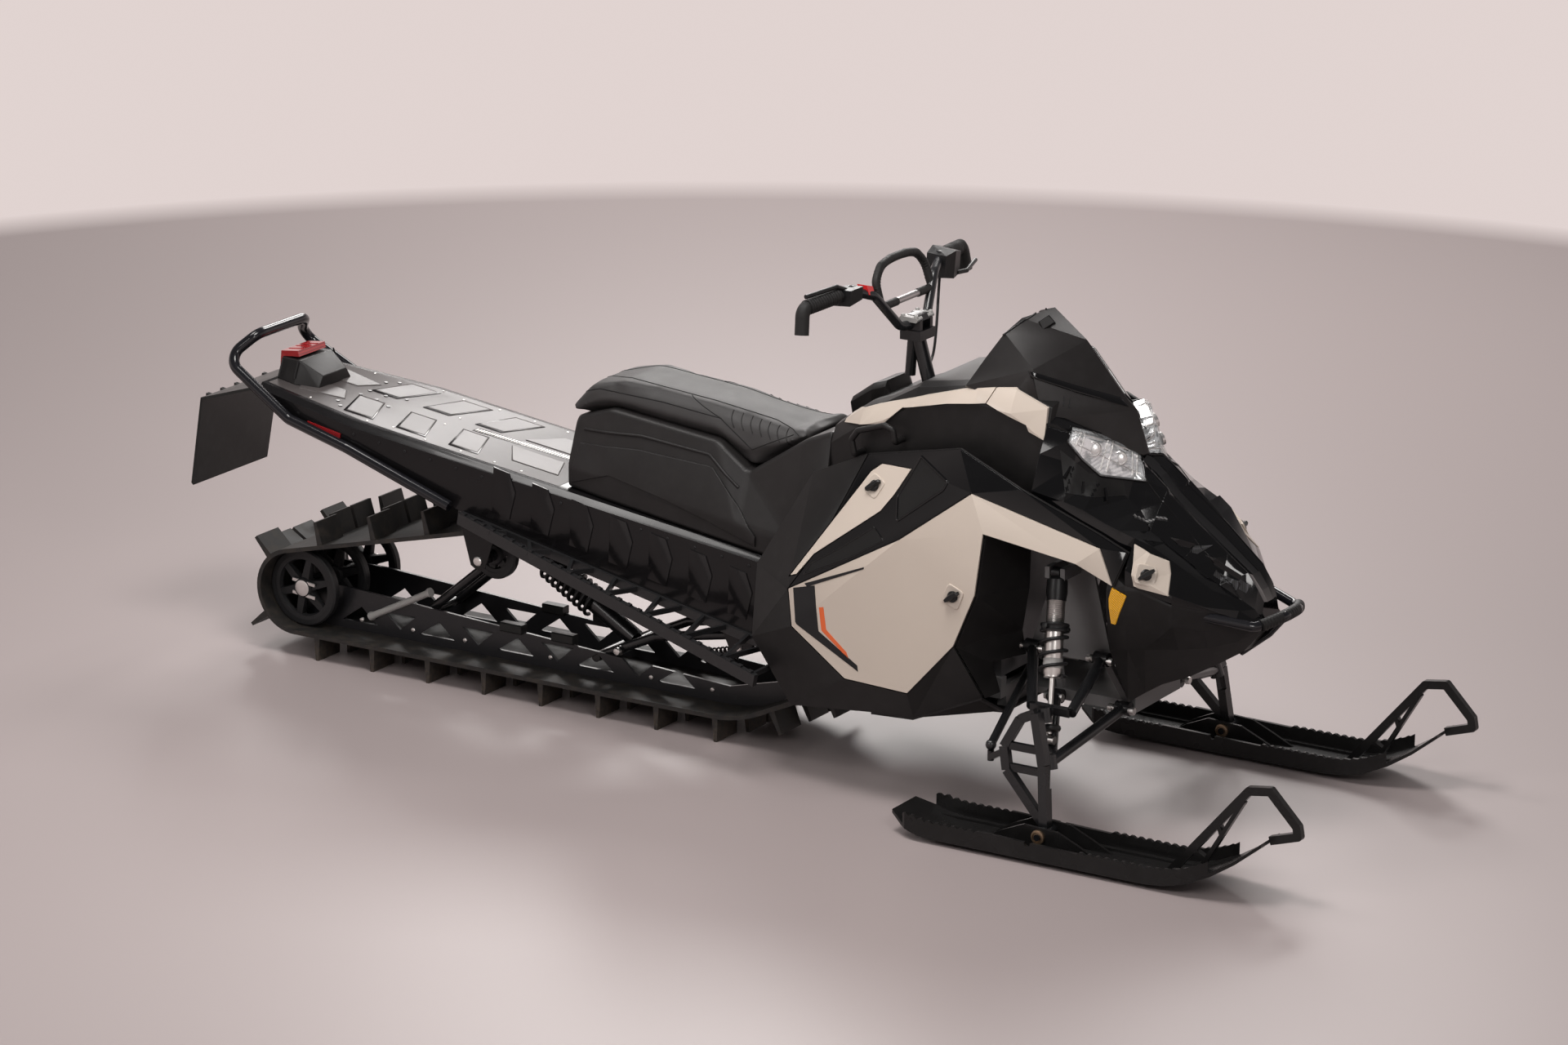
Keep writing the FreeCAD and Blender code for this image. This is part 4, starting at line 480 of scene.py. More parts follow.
@dataclass(frozen=True)
class ClearCover:
    """Clear plastic over the lamps, see-through apart from its own gloss and a little haze."""

    tint: Colour = (0.80, 0.83, 0.86)

    def material(self, name: str) -> bpy.types.Material:
        """Builds the material.

        Args:
            name: the material's name.

        Returns:
            The finished material.
        """
        graph = Graph(name)
        haze = graph.noise(30.0, 3.0)
        tone = graph.mixed(self.tint, (0.9, 0.9, 0.9), haze)
        return graph.finish(Base_Color=tone, Roughness=haze * 0.04 + 0.03, Alpha=haze * 0.08 + 0.10,
                            Coat_Weight=1.0, Coat_Roughness=0.02)


@dataclass(frozen=True)
class WireMeshPaintedShade:
    """Pressed mesh behind the vents: a dull silver sheet whose diamond holes are painted near-black, as the
    shade behind them.
    """

    colour: Colour = (0.075, 0.075, 0.08)
    pitch: float = 0.006

    def material(self, name: str) -> bpy.types.Material:
        """Builds the material.

        Args:
            name: the material's name.

        Returns:
            The finished material.
        """
        graph = Graph(name)
        along, across, height = graph.axes()
        first = ((along + across) * (math.pi / self.pitch)).sine().size()
        second = ((along - across + height * 0.4) * (math.pi / self.pitch)).sine().size()
        hole = (first * second).above(0.28, 0.12)
        solid = 1.0 - hole
        # Painted shade: the holes get near-black colour for the shade behind the sheet; the sheet itself has no
        # openings.
        tone = graph.mixed(self.colour, (0.004, 0.004, 0.004), hole)
        return graph.finish(Base_Color=tone, Metallic=solid, Roughness=hole * 0.2 + 0.5,
                            Normal=graph.bump(solid, 0.0003))


class Paint(Enum):
    """Every finish on the machine."""

    TRACK = TrackRubber()
    WHEEL = Moulded((0.016, 0.016, 0.017), 0.42)
    RAIL = PowderCoat((0.014, 0.014, 0.016), 0.32)
    ARM = PowderCoat((0.010, 0.010, 0.011), 0.26)
    TUNNEL = Lacquer((0.006, 0.0055, 0.006), 0.20, 0.2)
    DECK = Moulded((0.062, 0.055, 0.054), 0.36, 0.00003, 0.1)
    BOARD = PowderCoat((0.014, 0.014, 0.015), 0.32)
    TUBE = Lacquer((0.007, 0.007, 0.009), 0.16, 0.4)
    FLAP = Moulded((0.012, 0.0125, 0.012), 0.36, dust=0.3)
    GLOSS = Lacquer((0.0022, 0.0022, 0.0026), 0.07, 0.35)
    RED = Lens((0.50, 0.022, 0.026))
    STOP = Lacquer((0.62, 0.020, 0.022), 0.26, 0.2)
    # Amber reflectors with a painted glow: they emit a little light, though they are no lamp.
    AMBER = Lens((0.95, 0.46, 0.010), painted_glow=0.10)
    SEAT = Vinyl()
    SEAM = Moulded((0.008, 0.008, 0.008), 0.7)
    DARK = Moulded((0.0085, 0.0078, 0.0078), 0.42)
    BASE = Moulded((0.013, 0.0118, 0.0118), 0.42)
    PALE = Lacquer((0.60, 0.52, 0.45), 0.30, 0.12, calm=True)
    # Painted shade: near-black for the shade inside recesses, slots and gaps, used on flat plates laid where
    # the recess or gap is.
    SHADOW = Moulded((0.0042, 0.0040, 0.0040), 0.5, dust=0.02)
    STRIPE = Lacquer((0.010, 0.010, 0.011), 0.28, 0.1)
    ORANGE = Lacquer((0.72, 0.14, 0.045), 0.28, 0.1, calm=True)
    SCREEN = Moulded((0.012, 0.0105, 0.0105), 0.36)
    # Reflector whose colour carries painted reflections.
    REFLECTOR = Reflector()
    COVER = ClearCover()
    # Mesh whose holes are painted near-black as the shade behind it.
    MESH = WireMeshPaintedShade()
    BULKHEAD = PowderCoat((0.16, 0.155, 0.155), 0.42)
    STEEL = BareMetal((0.66, 0.65, 0.64), 0.22)
    SILVER = BareMetal((0.74, 0.72, 0.70), 0.30)
    BRASS = BareMetal((0.42, 0.30, 0.20), 0.38)
    SHOCK = BareMetal((0.60, 0.58, 0.56), 0.26, (1.0, 1.0, 40.0))
    ASH = Moulded((0.34, 0.33, 0.32), 0.4)
    SKI = Moulded((0.0095, 0.009, 0.009), 0.27)
    CONTROL = Moulded((0.010, 0.010, 0.0105), 0.36)
    KNOB = Moulded((0.009, 0.009, 0.009), 0.3)
    ENGINE = BareMetal((0.30, 0.30, 0.31), 0.4)
    BAR = PowderCoat((0.016, 0.016, 0.018), 0.26)
    GRIP = Moulded((0.011, 0.0105, 0.0105), 0.52, 0.0002)
    SLEEVE = BareMetal((0.50, 0.48, 0.48), 0.34)
    CABLE = Moulded((0.008, 0.008, 0.008), 0.34)

    def material(self) -> bpy.types.Material:
        """The finish's material, made once."""
        name = "finish_" + self.name.lower()
        return bpy.data.materials.get(name) or self.value.material(name)


NODE_PAINT: dict[Paint, tuple[str, ...]] = {
    Paint.TRACK: ("track",),
    Paint.WHEEL: ("idler_wheels", "drive_axle"),
    Paint.RAIL: ("slide_rails",),
    Paint.ARM: ("torque_arms", "track_shocks", "a_arms_right", "a_arms_left", "spindle_right", "spindle_left",
                "tie_rod_right", "tie_rod_left", "steering_post", "ski_springs"),
    Paint.TUNNEL: ("tunnel",),
    Paint.BOARD: ("running_board_right", "running_board_left"),
    Paint.TUBE: ("rear_bumper", "front_bumper"),
    Paint.FLAP: ("snow_flap",),
    Paint.GLOSS: ("side_fender_right", "side_fender_left", "hood"),
    Paint.RED: ("tail_lens", "side_reflectors"),
    Paint.STOP: ("stop_switch",),
    Paint.AMBER: ("reflectors",),
    Paint.SEAT: ("seat",),
    Paint.DARK: ("seat_base", "side_fairing_right", "side_fairing_left", "nose", "arch_liner_right",
                 "arch_liner_left", "belly_pan", "console", "tail_light", "grab_handles"),
    Paint.PALE: ("side_panel_right", "side_panel_left", "console_trim", "front_covers"),
    Paint.SCREEN: ("windshield",),
    Paint.REFLECTOR: ("headlights",),
    Paint.BULKHEAD: ("bulkhead",),
    Paint.STEEL: ("ski_shock_right", "ski_shock_left"),
    Paint.SKI: ("ski_right", "ski_left", "ski_loop_right", "ski_loop_left"),
    Paint.CONTROL: ("brake_control", "throttle_control"),
    Paint.ENGINE: ("engine",),
    Paint.BAR: ("handlebar",),
    Paint.GRIP: ("grips", "grab_hoop"),
    Paint.CABLE: ("brake_line",),
}


# Mesh helpers


def linked(name: str, data: bpy.types.ID) -> bpy.types.Object:
    """Makes an object of its data and puts it into the scene.

    Args:
        name: the object's name.
        data: its mesh, curve, camera or lamp.

    Returns:
        The new object.
    """
    thing = bpy.data.objects.new(name, data)
    bpy.context.scene.collection.objects.link(thing)
    return thing


def paint(piece: bpy.types.Object, finish: Paint) -> None:
    """Gives a whole piece one finish.

    Args:
        piece: the object.
        finish: what it is painted with.
    """
    slots = piece.data.materials
    slots.clear()
    slots.append(finish.material())


def node_body(name: str) -> str:
    """The body that a CAD node rides on."""
    return frame["nodes"][name]["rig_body"]


def new_piece(name: str, points: np.ndarray, faces: Sequence[Sequence[int]], finish: Paint, body: str,
              smooth_deg: float = 35.0) -> bpy.types.Object:
    """Makes a mesh piece that rides on a body.

    Args:
        name: the piece's name.
        points: an array of places, one row each.
        faces: corner numbers of each face.
        finish: what it is painted with.
        body: the CAD body that it rides on.
        smooth_deg: edges flatter than this shade smooth.

    Returns:
        The new object.
    """
    mesh = bpy.data.meshes.new(name)
    mesh.from_pydata(np.asarray(points, float).reshape(-1, 3), [], faces)
    mesh.validate()
    outward(mesh)
    smooth(mesh, smooth_deg)
    piece = linked(name, mesh)
    paint(piece, finish)
    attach(piece, body)
    return piece


def outward(mesh: bpy.types.Mesh) -> None:
    """Merges doubles and turns the faces outwards.

    Args:
        mesh: the mesh of a closed shape.
    """
    shape = bmesh.new()
    shape.from_mesh(mesh)
    bmesh.ops.remove_doubles(shape, verts=shape.verts, dist=1e-6)
    bmesh.ops.recalc_face_normals(shape, faces=shape.faces)
    shape.to_mesh(mesh)
    shape.free()


def smooth(mesh: bpy.types.Mesh, degrees: float) -> None:
    """Shades smooth across edges flatter than the angle."""
    mesh.shade_smooth()
    mesh.set_sharp_from_angle(angle=math.radians(degrees))


def rounded(piece: bpy.types.Object, width: float, segments: int, fold_deg: float) -> bpy.types.Modifier:
    """Rounds every edge that folds by more than the angle.

    Args:
        piece: the object.
        width: the rounding's width in metres.
        segments: steps across the rounding.
        fold_deg: the smallest fold that is rounded.

    Returns:
        The modifier.
    """
    bevel = piece.modifiers.new("rounding", "BEVEL")
    bevel.width = width
    bevel.segments = segments
    bevel.limit_method = "ANGLE"
    bevel.angle_limit = math.radians(fold_deg)
    return bevel


def softened(node: str, finish: Paint, width: float, segments: int = 2) -> bpy.types.Object:
    """Copies a CAD node, merges its triangles into flats and rounds the edges between them.

    Args:
        node: the CAD node that the copy stands for.
        finish: what it is painted with.
        width: the rounding's width in metres.
        segments: steps across the rounding.

    Returns:
        The piece that replaces the node.
    """
    flat_deg, fold_deg, shade_deg, weld = 1.0, 7.0, 60.0, 2e-5
    mesh = frame["nodes"][node].data.copy()
    shape = bmesh.new()
    shape.from_mesh(mesh)
    bmesh.ops.remove_doubles(shape, verts=shape.verts, dist=weld)
    bmesh.ops.dissolve_limit(shape, angle_limit=math.radians(flat_deg), verts=shape.verts, edges=shape.edges)
    shape.to_mesh(mesh)
    shape.free()
    piece = linked(node + "_soft", mesh)
    rounded(piece, width, segments, fold_deg).harden_normals = True
    smooth(mesh, shade_deg)
    paint(piece, finish)
    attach(piece, node_body(node))
    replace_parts(piece, node)
    return piece


# Surfaces as arrays

Shape = tuple[np.ndarray, list]
# Lines given in side view start beside the machine, and are laid on it towards its middle
OUT_RIGHT = np.array([0.0, -0.42, 0.0])
TO_MIDDLE = (0.0, 1.0, 0.0)
# Nearly straight up, so that a path that climbs still has a side
UPWARDS = (0.03, 0.02, 1.0)


def lattice(grid: np.ndarray, around: bool = True, ring: bool = False) -> Shape:
    """Skins an array of points, rows by columns by 3, with quads.

    Args:
        grid: the points; each row is a section of the surface.
        around: whether each row closes on itself; its first and last rows then get a cap.
        ring: whether the last row joins the first, so that no caps are needed.

    Returns:
        The points in one list, and the faces as corner numbers.
    """
    rows, columns = grid.shape[:2]
    number = np.arange(rows * columns).reshape(rows, columns)
    wide = np.concatenate([number, number[:, :1]], 1) if around else number
    tall = np.concatenate([wide, wide[:1]], 0) if ring else wide
    quads = np.stack([tall[:-1, :-1], tall[:-1, 1:], tall[1:, 1:], tall[1:, :-1]], -1).reshape(-1, 4)
    faces = quads.tolist()
    if around and not ring:
        faces += [number[0, ::-1].tolist(), number[-1].tolist()]
    return grid.reshape(-1, 3), faces


def shell(top: np.ndarray, low: np.ndarray) -> Shape:
    """Closed body between two equal grids: each row runs over the top and back underneath."""
    return lattice(np.concatenate([top, low[:, ::-1]], 1))


def joined(shapes: Iterable[Shape]) -> Shape:
    """Several shapes as one list of points and faces.

    Args:
        shapes: the shapes, in order.

    Returns:
        One shape.
    """
    points, faces, first = [], [], 0
    for places, corners in shapes:
        points.append(places)
        faces += [[first + i for i in face] for face in corners]
        first += len(places)
    return np.concatenate(points), faces


def mirrored(shape: Shape) -> Shape:
    """The shape on the machine's other side: Y changes sign."""
    return shape[0] * np.array([1.0, -1.0, 1.0]), [face[::-1] for face in shape[1]]


def both(shapes: Iterable[Shape]) -> Shape:
    """Right-hand shapes together with their left-hand twins."""
    right = list(shapes)
    return joined(right + [mirrored(shape) for shape in right])


def axes_at(normal: Vec, up: Vec = (0, 0, 1)) -> np.ndarray:
    """Three unit rows: to the right of up, up, and along the normal.

    Args:
        normal: the direction of the third row.
        up: what the second row stays nearest to.

    Returns:
        The rows as a 3 by 3 array.
    """
    out = np.asarray(normal, float) / np.linalg.norm(normal)
    right = np.cross(up, out)
    right /= np.linalg.norm(right)
    return np.array([right, np.cross(out, right), out])


def placed(shape: Shape, origin: Vec, normal: Vec, up: Vec = (0, 0, 1)) -> Shape:
    """Local X, Y, Z carried to the axes at a place."""
    return shape[0] @ axes_at(normal, up) + np.asarray(origin, float), shape[1]


def turned(profile: Sequence[Pair], sides: int = 24) -> Shape:
    """Profile of (radius, height) rows swung about Z: x = r cos a, y = r sin a, z = height.

    Args:
        profile: radius and height of each ring.
        sides: corners of a ring.

    Returns:
        The skin with its end caps.
    """
    radius, height = np.array(profile, float).T
    turn = np.linspace(0.0, 2.0 * math.pi, sides, endpoint=False)
    grid = np.stack([np.outer(radius, np.cos(turn)), np.outer(radius, np.sin(turn)),
                     np.repeat(height[:, None], sides, 1)], -1)
    return lattice(grid)


def turned_between(start: Vec, end: Vec, profile: Sequence[Pair],
                   sides: int = 24) -> Shape:
    """Turned profile whose heights are shares of the way from start to end.

    Args:
        start: place of share 0.
        end: place of share 1.
        profile: radius and share of each ring.
        sides: corners of a ring.

    Returns:
        The skin with its end caps.
    """
    way = np.subtract(end, start)
    length = float(np.linalg.norm(way))
    up = (0, 1, 0) if abs(way[2]) > 0.7 * length else (0, 0, 1)
    return placed(turned([(r, share * length) for r, share in profile], sides), start, way, up)


def rod(start: Vec, end: Vec, radius: float, sides: int = 20, bore: float = 0.004, lip: float = 0.0) -> Shape:
    """Round bar whose end faces reach in to the bore; its edges take up a share of its length, the lip."""
    return turned_between(start, end, [(bore, 0.0), (radius, lip), (radius, 1.0 - lip), (bore, 1.0)], sides)


def eased(path: Sequence[Vec], times: int = 2) -> np.ndarray:
    """Rounds a path's corners: each run is cut at a quarter and three quarters, again and again.

    Args:
        path: the places it goes through.
        times: how often its corners are cut.

    Returns:
        The rounded path.
    """
    points = np.array(path, float)
    for _ in range(times):
        low = points[:-1] * 0.75 + points[1:] * 0.25
        high = points[:-1] * 0.25 + points[1:] * 0.75
        points = np.concatenate([points[:1], np.stack([low, high], 1).reshape(-1, 3), points[-1:]])
    return points


def spaced(path: np.ndarray, count: int) -> np.ndarray:
    """Evenly spaced places along a path, straight between its points.

    Args:
        path: the places it goes through.
        count: how many places are made.

    Returns:
        The places, one row each.
    """
    steps = np.concatenate([[0.0], np.cumsum(np.linalg.norm(np.diff(path, axis=0), axis=1))])
    at = np.linspace(0.0, steps[-1], count)
    return np.stack([np.interp(at, steps, path[:, k]) for k in range(3)], -1)


def swept(path: np.ndarray, section: np.ndarray, swell: np.ndarray | float = 1.0,
          up: Vec = UPWARDS) -> Shape:
    """Carries a section along a path.

    Args:
        path: the places it goes through.
        section: its (side, rise) corners, in order.
        swell: how large it is at each place.
        up: what its rise stays nearest to.

    Returns:
        The skin with its end caps.
    """
    heading = np.gradient(path, axis=0)
    heading /= np.linalg.norm(heading, axis=1, keepdims=True)
    side = np.cross(heading, np.asarray(up, float))
    side /= np.linalg.norm(side, axis=1, keepdims=True)
    rise = np.cross(side, heading)
    size = np.broadcast_to(np.asarray(swell, float), (len(path),))[:, None, None]
    reach = side[:, None] * section[None, :, :1] + rise[:, None] * section[None, :, 1:]
    return lattice(path[:, None] + size * reach)


def circle(radius: float, sides: int = 10) -> np.ndarray:
    """Round section."""
    turn = np.linspace(0.0, 2.0 * math.pi, sides, endpoint=False)
    return radius * np.stack([np.cos(turn), np.sin(turn)], -1)


def wound(start: Vec, end: Vec, turns: float, radius: float, wire: float, count: int, sides: int,
          first: Vec) -> Shape:
    """Coil of wire: start to end by the share, plus radius times (cos a, sin a), a = turns by the share.

    Args:
        start: middle of its first turn.
        end: middle of its last turn.
        turns: how often it goes round.
        radius: from its middle line to the wire.
        wire: the wire's own radius.
        count: places along the wire.
        sides: corners of the wire's section.
        first: what its second direction stays nearest to.

    Returns:
        The coil's skin.
    """
    way = np.subtract(end, start)
    share = np.linspace(0.0, 1.0, count)[:, None]
    rows = axes_at(way, first)
    turn = share * 2.0 * math.pi * turns
    path = start + way * share + radius * (np.cos(turn) * rows[0] + np.sin(turn) * rows[1])
    return swept(path, circle(wire, sides), up=way)


def slab(outline: Sequence[Pair], depth: float, chamfer: float = 0.001, base: float = 0.0) -> Shape:
    """Plate with a bevelled rim: the outline, the outline higher up, and the outline drawn in on top.

    Args:
        outline: its corners, in order.
        depth: height of its top.
        chamfer: how far the rim is drawn in.
        base: height of its underside.

    Returns:
        A closed shape.
    """
    flat = np.array(outline, float)
    inwards = flat.mean(0) - flat
    inner = flat + inwards / np.linalg.norm(inwards, axis=1, keepdims=True) * chamfer
    levels = [(flat, base), (flat, depth - chamfer), (inner, depth)]
    return lattice(np.array([np.column_stack([ring, np.full(len(ring), z)]) for ring, z in levels]))


def beam(start: Vec, end: Vec, width: float, height: float, chamfer: float = 0.0015) -> Shape:
    """Straight bar with bevelled corners between two places.

    Args:
        start: where it starts.
        end: where it ends.
        width: size across its section.
        height: size up its section.
        chamfer: how much each corner loses.

    Returns:
        A closed shape.
    """
    w, h, c = width / 2, height / 2, chamfer
    section = np.array([(-w + c, -h), (w - c, -h), (w, -h + c), (w, h - c),
                        (w - c, h), (-w + c, h), (-w, h - c), (-w, -h + c)])
    return swept(np.array([start, end], float), section)


class Skin:
    """Outer face of some meshes, which details are laid on."""

    def __init__(self, *meshes: bpy.types.Mesh) -> None:
        """Collects the triangles.

        Args:
            meshes: meshes in the part's own frame.
        """
        triangles = []
        for mesh in meshes:
            mesh.calc_loop_triangles()
            places = np.empty(len(mesh.vertices) * 3)
            mesh.vertices.foreach_get("co", places)
            corners = np.empty(len(mesh.loop_triangles) * 3, np.int64)
            mesh.loop_triangles.foreach_get("vertices", corners)
            triangles.append(places.reshape(-1, 3)[corners.reshape(-1, 3)])
        self.triangles = np.concatenate(triangles)

    @classmethod
    def of(cls, *names: str) -> "Skin":
        """The skin of CAD nodes."""
        return cls(*(frame["nodes"][name].data for name in names))

    def drop(self, points: np.ndarray, heading: Vec, back: float = 0.5) -> tuple[np.ndarray, np.ndarray]:
        """Sends a ray from behind every point and finds where it meets the skin first.

        A ray meets a triangle where its place, written as a corner plus two shares of the
        triangle's edges, has shares that are not negative and add up to one at most.

        Args:
            points: places on or near the skin.
            heading: the rays' direction, into the skin.
            back: how far behind the points the rays start.

        Returns:
            The places met and the unit normals there, facing the rays' start. Rays that miss
            keep their own point.
        """
        edge_on, slack = 1e-15, 1e-7
        flat = np.asarray(points, float).reshape(-1, 3)
        way = np.asarray(heading, float) / np.linalg.norm(heading)
        corner = self.triangles[:, 0]
        first = self.triangles[:, 1] - corner
        second = self.triangles[:, 2] - corner
        across = np.cross(way, second)
        size = (first * across).sum(1)
        size = np.where(np.abs(size) < edge_on, np.nan, size)
        gap = (flat - way * back)[:, None] - corner[None]
        share = (gap * across).sum(-1) / size
        turn = np.cross(gap, first[None])
        other = (turn @ way) / size
        reach = (turn * second[None]).sum(-1) / size
        met = (share >= -slack) & (other >= -slack) & (share + other <= 1 + slack) & (reach > 0)
        reach = np.where(met, reach, np.inf)
        best = reach.argmin(1)
        far = reach[np.arange(len(flat)), best]
        normal = np.cross(first, second)[best]
        normal /= np.linalg.norm(normal, axis=1, keepdims=True)
        normal *= -np.sign(normal @ way)[:, None]
        hit = np.isfinite(far)[:, None]
        places = np.where(hit, flat - way * back + way * np.where(hit, far[:, None], 0.0), flat)
        return places.reshape(np.shape(points)), np.where(hit, normal, -way).reshape(np.shape(points))

    def stood(self, shape: Shape, place: Vec, heading: Vec, up: Vec) -> Shape:
        """Stands a shape on the skin where a ray through the place meets it."""
        spot, normal = self.drop(np.array([place]), heading)
        return placed(shape, spot[0], normal[0], up)

    def band(self, upper: Sequence[Vec], lower: Sequence[Vec], heading: Vec,
             lift: float = 0.0008, sink: float = 0.002, counts: tuple[int, int] = (40, 5),
             crown: float = 0.0) -> Shape:
        """Thin pad on the skin between two lines.

        Args:
            upper: places along one edge.
            lower: places along the other edge, in the same order.
            heading: direction of the rays that lay it on the skin.
            lift: how far its face stands proud.
            sink: how far its back lies under the skin.
            counts: rows along and columns across.
            crown: how much further the middle stands out than the edges.

        Returns:
            A closed shape.
        """
        first = spaced(np.array(upper, float), counts[0])[:, None]
        second = spaced(np.array(lower, float), counts[0])[:, None]
        share = np.linspace(0.0, 1.0, counts[1])[None, :, None]
        places, _ = self.drop(first * (1 - share) + second * share, heading)
        out = -np.asarray(heading, float) / np.linalg.norm(heading)
        rise = lift + crown * (1.0 - (2.0 * share - 1.0) ** 2)
        return shell(places + out * rise, places - out * sink)

    def bead(self, path: Sequence[Vec], heading: Vec, radius: float, lift: float = 0.0,
             count: int = 60, sides: int = 6) -> Shape:
        """Thin round line along the skin.

        Args:
            path: places near the skin.
            heading: direction of the rays that lay it on the skin.
            radius: the line's own radius.
            lift: how far its middle stands proud.
            count: places along it.
            sides: corners of its section.

        Returns:
            A closed shape.
        """
        places, _ = self.drop(spaced(np.array(path, float), count), heading)
        out = -np.asarray(heading, float) / np.linalg.norm(heading)
        return swept(places + out * lift, circle(radius, sides), up=out)


def button(origin: Vec, normal: Vec, radius: float, height: float, sides: int = 14) -> Shape:
    """Domed head of a bolt or rivet, a little below and above the surface.

    Args:
        origin: its place on the surface.
        normal: the surface's direction there.
        radius: the head's radius.
        height: how far it stands out.
        sides: corners around it.

    Returns:
        A closed shape.
    """
    profile = [(radius * 0.2, -height), (radius, -height), (radius, height * 0.35),
               (radius * 0.8, height * 0.8), (radius * 0.35, height)]
    up = (0, 0, 1) if abs(normal[2]) < 0.9 else (1, 0, 0)
    return placed(turned(profile, sides), origin, normal, up)


def add(name: str, shape: Shape, finish: Paint, body: str = "chassis",
        smooth_deg: float = 35.0) -> bpy.types.Object:
    """Makes a piece from a shape."""
    return new_piece(name, shape[0], shape[1], finish, body, smooth_deg)


# Sub-assemblies


@dataclass
class Frame:
    """The CAD nodes that keep their own meshes."""

    def dress(self) -> None:
        """Paints every node by the table of finishes."""
        for finish, names in NODE_PAINT.items():
            for name in names:
                paint(frame["nodes"][name], finish)
        LOG.info("dressed %d nodes", len(frame["nodes"]))


@dataclass
class BrakeLine:
    """Free hose from the brake block down to the steering post."""

    radius: float = 0.0035
    length: float = 0.31
    route: Line = (
        (0.329, 0.214, 1.160), (0.325, 0.214, 1.096), (0.349, 0.168, 1.048), (0.385, 0.096, 1.000),
        (0.403, 0.050, 0.980), (0.417, 0.010, 0.976),
    )

    def build(self) -> None:
        """One open NURBS spline through the source's route, with a round bevel."""
        curve = bpy.data.curves.new("brake_hose", "CURVE")
        curve.dimensions = "3D"
        curve.bevel_depth = self.radius
        curve.bevel_resolution = 4
        curve.use_fill_caps = True
        spline = curve.splines.new("NURBS")
        spline.points.add(len(self.route) - 1)
        places = np.column_stack([np.array(self.route), np.ones(len(self.route))])
        spline.points.foreach_set("co", places.ravel())
        spline.order_u = 3
        spline.use_endpoint_u = True
        spline.resolution_u = 12
        piece = linked("brake_hose", curve)
        paint(piece, Paint.CABLE)
        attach(piece, node_body("brake_line"))
        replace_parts(piece, "brake_line")
        LOG.info("brake hose")


@dataclass
class Bodywork:
    """Side panels, gloss bands, hood, chin and covers with rounded folds.

    A skin is a node, its finish, the rounding's width and the steps across it.
    """

    sides: tuple[tuple[str, Paint], ...] = (
        ("side_panel", Paint.PALE), ("side_fender", Paint.GLOSS), ("side_fairing", Paint.DARK))
    fold: float = 0.0022
    skins: tuple[tuple[str, Paint, float, int], ...] = (
        ("hood", Paint.GLOSS, 0.004, 3), ("nose", Paint.DARK, 0.004, 3), ("console", Paint.DARK, 0.008, 3),
        ("console_trim", Paint.PALE, 0.002, 2), ("front_covers", Paint.PALE, 0.002, 2),
        ("seat_base", Paint.BASE, 0.012, 4), ("windshield", Paint.SCREEN, 0.0015, 2),
        ("tail_light", Paint.DARK, 0.003, 2), ("tunnel", Paint.TUNNEL, 0.0012, 2),
        ("snow_flap", Paint.FLAP, 0.003, 2))

    def build(self) -> None:
        """Replaces the folded skins by softened copies."""
        for panel, finish in self.sides:
            for side in ("right", "left"):
                softened(f"{panel}_{side}", finish, self.fold)
        for node, finish, width, segments in self.skins:
            softened(node, finish, width, segments)
        LOG.info("softened the bodywork")


@dataclass
class Latches:
    """Quarter-turn latches: a square dish, a round base and a winged knob."""

    places: tuple[tuple[Point, Point, float], ...] = (
        ((0.434, -0.263, 0.749), (-0.23, -0.88, 0.42), 0.35),
        ((0.708, -0.362, 0.547), (-0.09, -0.99, 0.08), 0.35),
        ((1.150, -0.241, 0.641), (0.62, -0.62, 0.46), 0.35),
    )
    knob: float = 0.0135
    wing: tuple[float, float, float] = (0.044, 0.011, 0.013)
    wing_turn: float = 2.2
    dish: float = 0.025

    def _knob(self) -> Shape:
        """Round base with a bevelled wing across it.

        Returns:
            The knob, its axis along Z.
        """
        length, width, height = self.wing
        base = turned([(0.004, -0.004), (self.knob, -0.004), (self.knob, 0.004), (self.knob * 0.8, 0.006),
                       (0.003, 0.007)], 28)
        half = length / 2
        outline = [(-half, -width * 0.30), (-half * 0.3, -width * 0.62), (half * 0.3, -width * 0.62),
                   (half, -width * 0.30), (half, width * 0.30), (half * 0.3, width * 0.62),
                   (-half * 0.3, width * 0.62), (-half, width * 0.30)]
        return joined([base, slab(outline, height, 0.003, 0.002)])

    def _dish(self) -> Shape:
        """Low frame whose inside slopes down to the base; its round is stretched to x^6 + y^6 = 1.

        Returns:
            The dish, its axis along Z.
        """
        rings = [(1.0, -0.003), (1.0, 0.0006), (0.94, 0.0018), (0.86, 0.0018), (0.60, -0.0004),
                 (0.2, -0.0004)]
        around = circle(1.0, 40)
        square = self.dish * around * (np.abs(around) ** 6).sum(1, keepdims=True) ** (-1.0 / 6.0)
        return lattice(np.array([np.column_stack([k * square, np.full(len(square), z)]) for k, z in rings]))

    def build(self) -> None:
        """Makes three latches a side."""
        knobs, dishes = [], []
        across = (math.cos(self.wing_turn), 0.0, math.sin(self.wing_turn))
        for place, normal, lean in self.places:
            out = np.array(normal) / np.linalg.norm(normal)
            up = (math.sin(lean), 0.0, math.cos(lean))
            dishes.append(placed(self._dish(), np.array(place) + out * 0.0008, normal, up))
            knobs.append(placed(self._knob(), np.array(place) + out * 0.001, normal, across))
        add("panel_latches", both(knobs), Paint.KNOB)
        add("latch_dishes", both(dishes), Paint.PALE)
        LOG.info("latches")


